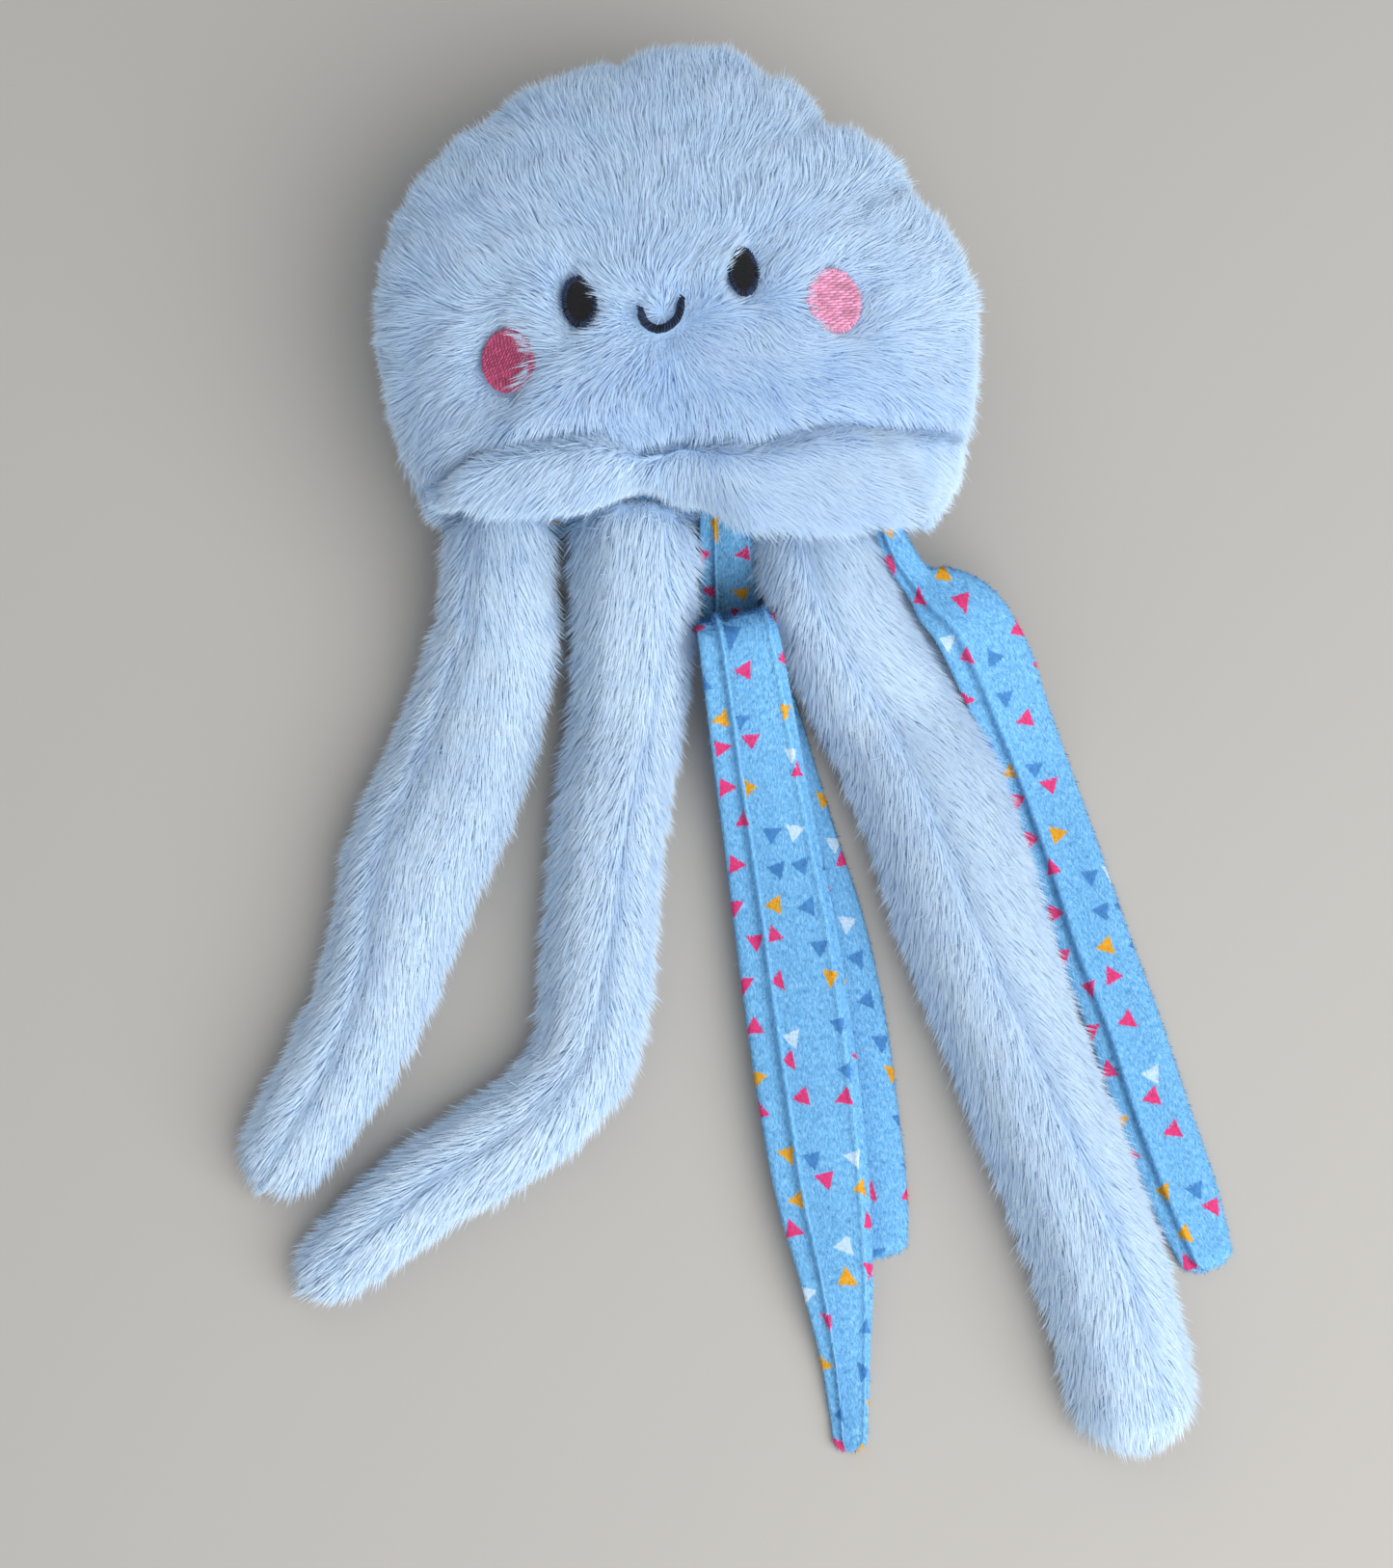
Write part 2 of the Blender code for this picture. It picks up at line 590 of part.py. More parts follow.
def main():
    """Build the toy."""
    clear_scene()
    collection = bpy.data.collections.new("plush_jellyfish")
    bpy.context.scene.collection.children.link(collection)
    materials = make_materials()
    front, surface, front_rim = make_front_panel(materials["blue_fur"], collection)
    back, back_rim = make_back_panel(materials["blue_fur"], collection)
    underside = make_underside_panel(front_rim, back_rim, materials["print_velour"], collection)
    pieces = [front, back, underside]
    pieces.append(make_filling(materials["polyester_filling"], collection))
    for spec in FACE_PATCHES:
        pieces.append(make_patch(spec, surface, materials, collection))
    pieces.append(make_smile(surface, materials["black_thread"], collection))
    pieces += make_fur_tentacles(materials["blue_fur"], collection)
    pieces += make_print_tentacles(materials["print_velour"], collection)
    gather(pieces, collection)


main()
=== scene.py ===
"""Plush jellyfish: pile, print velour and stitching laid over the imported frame.

Millimetres from the middle of the head until a mesh is stored, then metres.
"""

import math

import bmesh
import bpy
import numpy as np
from bpy.props import FloatProperty, FloatVectorProperty, IntProperty, PointerProperty
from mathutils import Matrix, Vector
from mathutils.bvhtree import BVHTree
from mathutils.kdtree import KDTree


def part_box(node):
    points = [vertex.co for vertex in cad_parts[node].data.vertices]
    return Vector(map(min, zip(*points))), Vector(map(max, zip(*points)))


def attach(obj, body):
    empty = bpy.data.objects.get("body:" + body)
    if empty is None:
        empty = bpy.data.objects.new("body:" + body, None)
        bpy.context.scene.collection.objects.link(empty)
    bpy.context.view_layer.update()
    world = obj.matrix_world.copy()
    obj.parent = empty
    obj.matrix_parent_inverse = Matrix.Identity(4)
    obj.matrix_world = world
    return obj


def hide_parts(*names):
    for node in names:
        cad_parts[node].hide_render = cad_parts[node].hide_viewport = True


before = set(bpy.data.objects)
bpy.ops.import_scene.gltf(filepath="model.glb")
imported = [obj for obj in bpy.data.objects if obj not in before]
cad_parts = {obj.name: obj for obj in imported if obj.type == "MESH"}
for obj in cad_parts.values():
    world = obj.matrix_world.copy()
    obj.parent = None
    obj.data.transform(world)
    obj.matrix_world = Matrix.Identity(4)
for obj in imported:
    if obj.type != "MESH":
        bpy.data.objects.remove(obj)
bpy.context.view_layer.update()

bl_info = {
    "name": "Plush jellyfish",
    "version": (1, 0, 0),
    "blender": (4, 5, 0),
    "location": "View3D > Sidebar > Plush",
    "description": "Builds a plush jellyfish with long pile, printed velour and a stitched face",
    "category": "Object",
}

MM = 0.001
UNDERSIDE_LOW, UNDERSIDE_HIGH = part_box("underside_panel")
UNDERSIDE_Y = -91.0
HEAD_PLACE = np.array((
    (UNDERSIDE_LOW[0] + UNDERSIDE_HIGH[0]) / 2.0 / MM, UNDERSIDE_LOW[1] / MM - UNDERSIDE_Y, 0.0))

# Head, as in the frame
HEAD_TOP = 105.0
SEAM_HEIGHT = 45.0
BACK_SINK = 6.0
FRONT_PROFILE = 0.8
BACK_PROFILE = 0.6
UNDERSIDE_TOP = 62.0
UNDERSIDE_BOTTOM = 15.0
UNDERSIDE_FULL = 42.5
UNDERSIDE_END = 47.5
ROLL_REACH = 3.1
HEAD_OUTLINE = (
    (-2, 127.5), (6, 124.0), (15, 118.0), (24, 111.5), (32, 112.5), (43, 108.0),
    (50, 102.5), (57, 106.0), (63, 109.0), (68, 108.5), (75, 112.5), (84, 115.0),
    (97, 113.0), (103, 110.5), (117, 112.0), (135, 115.0), (153, 122.5),
    (168, 126.0), (181, 127.5), (193, 128.0), (204, 130.0), (214, 133.5),
    (221, 137.0), (228, 134.0), (238, 119.5), (248, 109.0), (258, 95.5),
    (268, 93.0), (276, 97.0), (284, 110.0), (292, 115.5), (302, 126.0),
    (311, 139.5), (316, 142.0), (322, 139.5), (330, 138.0), (340, 132.0),
    (350, 128.5),
)
CREASE_LINE = ((-130, -84), (-112, -82), (-99, -83), (-79, -79), (-57, -74), (-33, -71),
               (-13, -76), (1, -72), (30, -76), (53, -70), (70, -68), (104, -63), (135, -56))
CREASE_DEPTH = 8.5
CREASE_WIDTH = 3.6
FOLD_START = (-42, -93)
FOLD_END = (-14, -88)
FOLD_DEPTH = 1.5
FOLD_WIDTH = 5.0
# Puckers drawn in at the sewn edge: (degrees from +X, depth, width across)
PUCKERS = ((24, 4.0, 7.0), (50, 6.0, 7.0), (68, 3.5, 6.0), (104, 5.0, 7.0), (136, 2.5, 8.0),
           (170, 2.5, 9.0), (196, 2.0, 9.0), (350, 2.0, 9.0))
FACE_CENTRE = np.array((-6.0, -24.0))
BAND_CENTRE = (2.0, -66.0)
# Lower edge of the rolled band where the middle tentacle's pile runs up into it
NOTCH = ((-50, -118), (-37, -105), (-26, -96), (-12, -89), (-4, -92), (5, -101), (12, -110),
         (34, -118))
NOTCH_DROP = 5.0

# Stitched face: name, centre, width, height, tilt in degrees
FACE_DENT = 3.0
FACE_PATCHES = (
    ("left_eye", (-40.1, -19.6), 14.0, 21.5, 9.0),
    ("right_eye", (27.4, -6.9), 12.4, 21.5, 6.0),
    ("left_cheek", (-69.5, -42.0), 21.5, 26.0, 12.0),
    ("right_cheek", (64.9, -17.0), 21.5, 27.5, 6.0),
)
# Tufts over each oval: how far they reach, from the viewer's right (-1) or left (1), and up to where
FACE_VEILS = ((3.0, -1.0, -0.1), (3.0, 1.0, 0.2), (6.5, -1.0, 9.0), (3.5, 1.0, 9.0))
SMILE_LINE = ((-15.0, -22.9), (-13.5, -28.6), (-6.8, -31.6), (0.2, -27.0), (2.4, -18.3))
SMILE_WIDTH = 3.4
SMILE_STITCHES = 25
SMILE_GAPS = (2, 5)

# Tentacles: stations of (x, y, height of the underside, width, thickness), as in the frame
FUR_TENTACLES = {
    "fur_tentacle_left": (
        (-75, UNDERSIDE_Y, 28, 37, 29), (-76.5, -118, 21, 42, 33), (-78, -139, 10, 47, 36),
        (-87, -173, 0, 51, 37), (-98, -206, 0, 54, 37), (-110.5, -235, 0, 54, 36),
        (-119, -264, 0, 47, 35), (-127.5, -292, 0, 42, 33), (-140, -320, 0, 39, 32),
        (-154, -344, 0, 35, 29), (-169, -367, 0, 29, 24)),
    "fur_tentacle_middle": (
        (-19, UNDERSIDE_Y, 28, 46, 36), (-19, -118, 20, 46, 37), (-19.2, -139, 10, 45, 37),
        (-21.5, -169, 0, 43, 35), (-26.5, -202, 0, 42, 34), (-30.5, -235, 0, 41, 33),
        (-33, -268, 0, 41, 33), (-35, -296, 0, 40, 32), (-40, -321, 0, 37, 31),
        (-55, -341, 0, 35, 30), (-80, -359.5, 0, 34, 28), (-107.5, -377, 0, 31, 27),
        (-131, -396.5, 0, 27, 24), (-149, -411, 0, 22, 20)),
    "fur_tentacle_right": (
        (57.5, UNDERSIDE_Y, 28, 42, 29), (63, -116, 21, 48, 33), (73, -140, 10, 53, 37),
        (90.5, -170, 0, 56, 38), (106, -202, 0, 57, 38), (116, -231.5, 0, 57, 38),
        (124, -260, 0, 56, 38), (133, -288.5, 0, 53, 37), (142.5, -316.5, 0, 51, 36),
        (152.5, -344, 0, 50, 36), (162.5, -371.5, 0, 49, 35), (172, -399, 0, 48, 34),
        (179.5, -426, 0, 47, 32), (185.5, -452, 0, 46, 29), (189, -472, 0, 40, 25)),
}
# Painted shade in the hollow across the front print tentacle: place along it, half length, tone
VALLEY_SHADE = (52.0, 17.0, 0.34)
# Painted shade in a narrow line across the front tentacle, listed with its pleats; it also marks the tentacle
# that gets the hollow's shade.
VALLEY_SIDE_SHADE = (-0.53, -0.06, 0.05)
# Painted light on the cloth's folds and painted shade in its pleats: (share of half width, lighter or darker,
# width)
PLEAT_LIGHT_AND_SHADE = {
    "print_tentacle_front": ((-0.43, 0.16, 0.05), (-0.26, -0.16, 0.12), (0.78, 0.14, 0.05), VALLEY_SIDE_SHADE),
    "print_tentacle_behind": (),
    "print_tentacle_right": ((-0.46, 0.14, 0.06), (-0.62, -0.14, 0.08)),
}
# Where the pile parts along each fur tentacle: (share of the length, share of half width)
FUR_PARTING = {
    "fur_tentacle_left": ((0.0, -0.55), (0.3, -0.45), (0.55, -0.45), (0.8, -0.1), (1.0, 0.0)),
    "fur_tentacle_middle": ((0.0, 0.6), (0.3, 0.42), (0.45, 0.3), (0.65, 0.0), (1.0, 0.0)),
    "fur_tentacle_right": ((0.0, -0.3), (0.4, -0.15), (0.6, 0.1), (0.8, 0.3), (1.0, 0.35)),
}
# How far the pile is combed sideways beside the parting, in degrees, and the blades planted
FUR_SWEEP = {"fur_tentacle_left": (30.0, 64000), "fur_tentacle_middle": (28.0, 67000),
             "fur_tentacle_right": (34.0, 86000)}
PARTING_DEPTH = 1.9
LONG_SHARE = 0.55
TUFT_BLADES = 9
PRINT_TENTACLES = {
    "print_tentacle_front": (
        (20.5, UNDERSIDE_Y, 47, 23, 8), (21, -100, 37, 25, 8), (21.6, -109, 24, 27, 8),
        (22.5, -119, 14, 29, 8), (23.4, -129, 11, 32, 8), (24.0, -135.5, 14, 34, 8),
        (24.4, -139.5, 30, 35, 8), (24.8, -142, 42.0, 35, 8), (26, -148, 44.5, 36, 9),
        (27.8, -158, 38.5, 37, 10), (31, -175, 27, 38.5, 10), (34, -192, 18, 40, 10),
        (39.5, -225, 11, 42, 10), (45.5, -262, 9.5, 45, 10), (51, -302, 9.5, 46, 10),
        (56.5, -343, 9.5, 45, 10), (61, -378, 9.2, 41, 9), (66, -411, 8.6, 32, 9),
        (69.5, -441, 2.5, 23, 8), (71, -464, 0, 18, 7), (71.5, -481, 0, 15, 6)),
    "print_tentacle_behind": (
        (21, UNDERSIDE_Y, 19, 24, 8), (22, -103, 9, 26, 8), (24, -116, 1, 28, 8),
        (28, -138, 0, 30, 8), (36, -172, 0, 36, 8), (47, -222, 0, 42, 8), (58.5, -264, 0, 45, 8),
        (67, -305, 0, 45, 8), (72.5, -346, 0, 44, 8), (77, -378, 0, 41, 8), (79, -403, 0, 36, 8)),
    "print_tentacle_right": (
        (87.5, UNDERSIDE_Y, 40, 13, 8), (94, -107, 36, 15, 8), (102.5, -118, 31, 17, 8),
        (112, -125, 31, 30, 8), (124, -135.5, 30, 36, 9), (135, -153, 22, 37, 9),
        (145, -175, 11, 34, 9), (155, -199, 3, 33, 9), (167.5, -236, 0, 33, 9),
        (178.5, -273, 0, 34, 9), (190, -306, 0, 33, 9), (200.5, -342, 0, 33, 9),
        (212.5, -378, 0, 31, 9), (222.5, -407, 0, 23, 8)),
}
# Pleats: (share of half width, height above the plain section)
PRINT_PLEATS = {
    "print_tentacle_front": ((-0.85, -1.2), (-0.53, -1.6), (-0.43, 2.6), (-0.27, -2.6),
                             (0.2, -1.2), (0.68, 0.6), (0.78, 2.4), (0.9, -1.8)),
    "print_tentacle_behind": ((-0.6, 0.5), (0.0, -0.8), (0.6, 0.5)),
    "print_tentacle_right": ((-0.75, -1.4), (-0.6, -2.4), (-0.46, 2.4), (-0.2, 0.6),
                             (0.2, 0.0), (0.7, 0.4)),
}
PRINT_SPACING = 17.5
PRINT_SIDE = 8.6

# Stage, in metres: plain room, lamps (name, place, size, watts, colour) and the photo's camera
ROOM_LIGHT = (0.39, 0.41, 0.44)
BACKDROP = (0.62, 0.61, 0.595)
FLOOR_FADE = (0.6, 1.5)
LAMP_AIM = (0.0, 0.05, 0.05)
LAMPS = (
    ("key_light", (1.0, -0.9, 1.4), 2.4, 48.0, (1.0, 0.99, 0.975)),
    ("fill_light", (-1.0, 1.2, 1.3), 1.8, 3.5, (0.95, 0.975, 1.0)),
)
CAMERA_AIM = (-0.01884, -0.02176, 0.025)
CAMERA_TILT = 78.0
CAMERA_DISTANCE = 1.1111
CAMERA_LENS = 60.0


# Small helpers

def smooth_step(low, high, value):
    """0 below low, 1 above high, with a soft change between."""
    share = np.clip((value - low) / (high - low), 0.0, 1.0)
    return share * share * (3.0 - 2.0 * share)


def table_value(table, value):
    """Straight interpolation in a short table of pairs."""
    return np.interp(value, [row[0] for row in table], [row[1] for row in table])


def unit(rows):
    """Each row scaled to length one."""
    return rows / np.maximum(np.linalg.norm(rows, axis=-1, keepdims=True), 1e-9)


def drift(points, size, seed):
    """Slow, smooth change between about -1 and 1 with waves of about the given size."""
    rng = np.random.default_rng(seed)
    total = np.zeros(len(points))
    for _ in range(6):
        heading = unit(rng.normal(size=(1, 3)))[0]
        stretch = rng.uniform(0.7, 1.5)
        total += np.sin(points @ heading * (2.0 * math.pi / size * stretch) + rng.uniform(0.0, 6.28))
    return total / 2.6


def to_world(points):
    """Millimetres from the middle of the head to metres in the frame."""
    return (np.asarray(points, dtype=float) + HEAD_PLACE) * MM


def store(name, mesh, material, replaces=()):
    """Link a mesh given in millimetres as a piece of the toy."""
    points = np.empty(len(mesh.vertices) * 3)
    mesh.vertices.foreach_get("co", points)
    mesh.vertices.foreach_set("co", to_world(points.reshape(-1, 3)).ravel())
    mesh.update()
    mesh.materials.append(material)
    mesh.shade_smooth()
    piece = bpy.data.objects.new(name, mesh)
    bpy.context.scene.collection.objects.link(piece)
    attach(piece, "root")
    if replaces:
        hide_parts(*replaces)
    return piece


def to_mesh(name, sheet):
    """A mesh from a bmesh, which is then freed."""
    mesh = bpy.data.meshes.new(name)
    sheet.to_mesh(mesh)
    sheet.free()
    return mesh


def surface_of(mesh, extra=()):
    """Points, triangles, normals and named vertex vectors of a mesh."""
    mesh.calc_loop_triangles()
    points = np.empty(len(mesh.vertices) * 3)
    mesh.vertices.foreach_get("co", points)
    normals = np.empty(len(mesh.vertices) * 3)
    mesh.vertex_normals.foreach_get("vector", normals)
    triangles = np.empty(len(mesh.loop_triangles) * 3, dtype=np.int32)
    mesh.loop_triangles.foreach_get("vertices", triangles)
    surface = {"points": points.reshape(-1, 3), "normals": normals.reshape(-1, 3),
               "triangles": triangles.reshape(-1, 3)}
    for name in extra:
        values = np.empty(len(mesh.vertices) * 3)
        mesh.attributes[name].data.foreach_get("vector", values)
        surface[name] = values.reshape(-1, 3)
    return surface


# Shape of the head

def outline_table():
    """The head outline every half degree, with its corners rounded."""
    angles = np.arange(0.0, 360.0, 0.5)
    knots = [row[0] for row in HEAD_OUTLINE] + [HEAD_OUTLINE[0][0] + 360.0]
    radii = [row[1] for row in HEAD_OUTLINE] + [HEAD_OUTLINE[0][1]]
    plain = np.interp((angles - knots[0]) % 360.0 + knots[0], knots, radii)
    steps = np.arange(-14, 15)
    weights = np.exp(-(steps / 5.0) ** 2)
    return sum(np.roll(plain, step) * weight for step, weight in zip(steps, weights)) / weights.sum()


OUTLINE = outline_table()


def outline_radius(angle):
    """Radius of the head outline at an angle in degrees."""
    return float(np.interp(angle % 360.0, np.arange(0.0, 360.5, 0.5), np.append(OUTLINE, OUTLINE[0])))


def seam_radius(angle):
    """Radius of the sewn edge: the outline, cut straight at the underside."""
    down = -math.sin(math.radians(angle))
    radius = outline_radius(angle)
    if down > 0.3:
        radius = min(radius, -UNDERSIDE_Y / down)
    return radius


def underside_share(angle):
    """1 where the underside opens the seam, 0 where the panels meet."""
    from_down = abs((angle + 90.0 + 180.0) % 360.0 - 180.0)
    return 1.0 - float(smooth_step(UNDERSIDE_FULL, UNDERSIDE_END, from_down))


def crease_drop(x, y):
    """How far the face is drawn in along the crease and the small fold."""
    distance = y - table_value(CREASE_LINE, x)
    drop = CREASE_DEPTH * math.exp(-(distance / CREASE_WIDTH) ** 2)
    start, end = Vector(FOLD_START), Vector(FOLD_END)
    along = max(0.0, min(1.0, (Vector((x, y)) - start).dot(end - start) / (end - start).length_squared))
    away = (Vector((x, y)) - start.lerp(end, along)).length
    return drop + FOLD_DEPTH * math.exp(-(away / FOLD_WIDTH) ** 2)


def oval_distance(patch, points):
    """Millimetres outside a stitched oval, below zero inside it."""
    _, centre, width, height, tilt = patch
    turn = math.radians(tilt)
    dx, dy = points[..., 0] - centre[0], points[..., 1] - centre[1]
    across = dx * math.cos(turn) + dy * math.sin(turn)
    up = -dx * math.sin(turn) + dy * math.cos(turn)
    return (np.hypot(across / width, up / height) * 2.0 - 1.0) * min(width, height) / 2.0


def smile_distance(points):
    """Millimetres from the line of the mouth."""
    line = walk(path([(*point, 0.0) for point in SMILE_LINE]), np.linspace(0.0, 1.0, 40))[:, :2]
    return np.min(np.linalg.norm(points[..., None, :2] - line, axis=-1), axis=-1)


def face_dent(x, y):
    """How far the stitching draws the face in."""
    dent = 0.0
    for _, centre, width, height, _ in FACE_PATCHES:
        away = math.hypot((x - centre[0]) / width, (y - centre[1]) / height) * 2.0
        dent = max(dent, FACE_DENT * (1.0 - float(smooth_step(0.9, 1.9, away))))
    mouth = min(math.hypot(x - px, y - py) for px, py in SMILE_LINE)
    return max(dent, 0.7 * FACE_DENT * (1.0 - float(smooth_step(3.0, 11.0, mouth))))


def pucker_depth(share, angle, radius):
    """How far the gathered edge is drawn in between its bumps."""
    depth = 0.0
    for middle, deep, width in PUCKERS:
        away = ((angle - middle + 180.0) % 360.0 - 180.0) * math.pi / 180.0 * radius
        depth = max(depth, deep * math.exp(-(away / width) ** 2))
    return depth * float(smooth_step(0.45, 0.8, share))


def front_point(share, angle):
    """A point of the head's front, from the middle (0) to the sewn edge (1)."""
    turn = share * math.pi / 2.0
    edge = SEAM_HEIGHT + 0.2 + (UNDERSIDE_TOP - SEAM_HEIGHT) * underside_share(angle)
    seam = seam_radius(angle)
    roll = (outline_radius(angle) - seam) * ROLL_REACH
    wave = math.sin(turn)
    radius = seam * wave + roll * wave ** 3 * (1.0 - wave ** 12)
    drawn = pucker_depth(share, angle, radius)
    radius -= 0.5 * drawn
    x = radius * math.cos(math.radians(angle))
    y = radius * math.sin(math.radians(angle))
    rise = max(0.0, math.cos(turn)) ** FRONT_PROFILE
    z = edge + (HEAD_TOP - edge) * rise
    z -= float(smooth_step(0.0, 0.45, rise)) * crease_drop(x, y) + face_dent(x, y) + 0.8 * drawn * rise
    z -= NOTCH_DROP * float(smooth_step(-1.0, 4.0, table_value(NOTCH, x) - y))
    return Vector((x, y, z))


def back_point(share, angle):
    """A point of the head's back, flat on the floor in the middle."""
    turn = share * math.pi / 2.0
    edge = SEAM_HEIGHT - 0.2 - (SEAM_HEIGHT - UNDERSIDE_BOTTOM) * underside_share(angle)
    radius = seam_radius(angle) * math.sin(turn) ** 0.9
    radius -= 0.5 * pucker_depth(share, angle, radius)
    rise = max(0.0, math.cos(turn)) ** BACK_PROFILE
    z = max(0.0, edge - (edge + BACK_SINK) * rise)
    return Vector((radius * math.cos(math.radians(angle)), radius * math.sin(math.radians(angle)), z))


def disc_grid(columns, rows, place, middle=0.0):
    """A grid primitive drawn out to a round sheet, each vertex set by place(share, angle)."""
    sheet = bmesh.new()
    bmesh.ops.create_grid(sheet, x_segments=columns, y_segments=rows, size=1.0)
    for vertex in sheet.verts:
        u, v = vertex.co.x, vertex.co.y
        v = middle + v * (1.0 - middle if v > 0.0 else 1.0 + middle)
        across = u * math.sqrt(1.0 - v * v / 2.0)
        up = v * math.sqrt(1.0 - u * u / 2.0)
        share = min(1.0, math.hypot(across, up))
        vertex.co = place(share, math.degrees(math.atan2(up, across)))
    return sheet


def inset_sheet(sheet, inset, upwards):
    """Face a sheet up or down and sink it below the frame's surface."""
    bmesh.ops.recalc_face_normals(sheet, faces=sheet.faces)
    sheet.normal_update()
    total = sum(face.normal.z * face.calc_area() for face in sheet.faces)
    if (total > 0.0) != upwards:
        bmesh.ops.reverse_faces(sheet, faces=sheet.faces)
        sheet.normal_update()
    moved = {vertex: vertex.co - vertex.normal * inset for vertex in sheet.verts}
    for vertex, point in moved.items():
        point.z = max(0.7, point.z)
        vertex.co = point


def thicken(piece, thickness):
    """Give a sheet its cloth thickness, inwards."""
    wall = piece.modifiers.new("cloth", "SOLIDIFY")
    wall.thickness = thickness * MM
    wall.offset = -1.0
    wall.use_even_offset = False


# Shape of the tentacles

def bend(a, b, c, d, steps):
    """Points of a smooth curve from b to c, led in by a and out by d."""
    return [0.5 * (2 * b + (c - a) * t + (2 * a - 5 * b + 4 * c - d) * t * t
                   + (3 * b - a - 3 * c + d) * t * t * t)
            for t in np.linspace(0.0, 1.0, steps, endpoint=False)]


def travelled(rows):
    """Distance along a row of points."""
    return np.concatenate([[0.0], np.cumsum(np.linalg.norm(np.diff(rows, axis=0), axis=1))])


def path(points):
    """A smooth curve through the given rows, with the distance along it."""
    rows = np.array(points, dtype=float)
    ends = np.vstack([2 * rows[0] - rows[1], rows, 2 * rows[-1] - rows[-2]])
    dense = [point for i in range(len(rows) - 1) for point in bend(*ends[i:i + 4], 12)]
    dense = np.array(dense + [rows[-1]])
    return dense, travelled(dense[:, :3])


def walk(track, shares):
    """Rows of a smooth curve at the given shares of its length."""
    dense, travel = track
    wanted = shares * travel[-1]
    return np.array([np.interp(wanted, travel, column) for column in dense.T]).T


def round_ring(points, count):
    """A closed smooth ring through the corners of a section."""
    rows = np.array(points, dtype=float)
    size = len(rows)
    dense = [point for i in range(size)
             for point in bend(*(rows[(i + k) % size] for k in (-1, 0, 1, 2)), 8)]
    dense = np.array(dense + [rows[0]])
    travel = travelled(dense)
    wanted = np.linspace(0.0, travel[-1], count, endpoint=False)
    return np.array([np.interp(wanted, travel, dense[:, k]) for k in (0, 1)]).T, wanted


def fur_section(width, thickness, parting):
    """Round stuffed tube, flat underneath, with a dip where the pile parts."""
    left = [-1.0 + k * (parting - 0.16 + 1.0) / 3.0 for k in range(4)]
    right = [parting + 0.16 + k * (1.0 - parting - 0.16) / 3.0 for k in range(4)]
    points = []
    for s in left + [parting] + right:
        top = 0.42 * thickness + 0.58 * thickness * math.sqrt(max(0.0, 1.0 - abs(s) ** 2.6))
        if s == parting:
            top -= PARTING_DEPTH * min(1.0, thickness / 30.0)
        points.append((s * width / 2.0, top))
    for s in (0.86, 0.4, -0.4, -0.86):
        low = 0.42 * thickness * (1.0 - math.sqrt(1.0 - s ** 4))
        points.append((s * width / 2.0, 0.0 if abs(s) < 0.5 else low))
    return points


def print_section(width, thickness, pleats):
    """Flat strip with soft edges and pressed pleats."""
    points = [(-width / 2.0, 0.45 * thickness)]
    for s, lift in pleats:
        top = thickness * (0.45 + 0.45 * math.sqrt(1.0 - abs(s) ** 3))
        points.append((s * width / 2.0, top + lift * thickness / 10.0))
    points.append((width / 2.0, 0.45 * thickness))
    for s in (0.84, 0.3, -0.3, -0.84):
        points.append((s * width / 2.0, 0.0 if abs(s) < 0.5 else 0.06 * thickness))
    return points


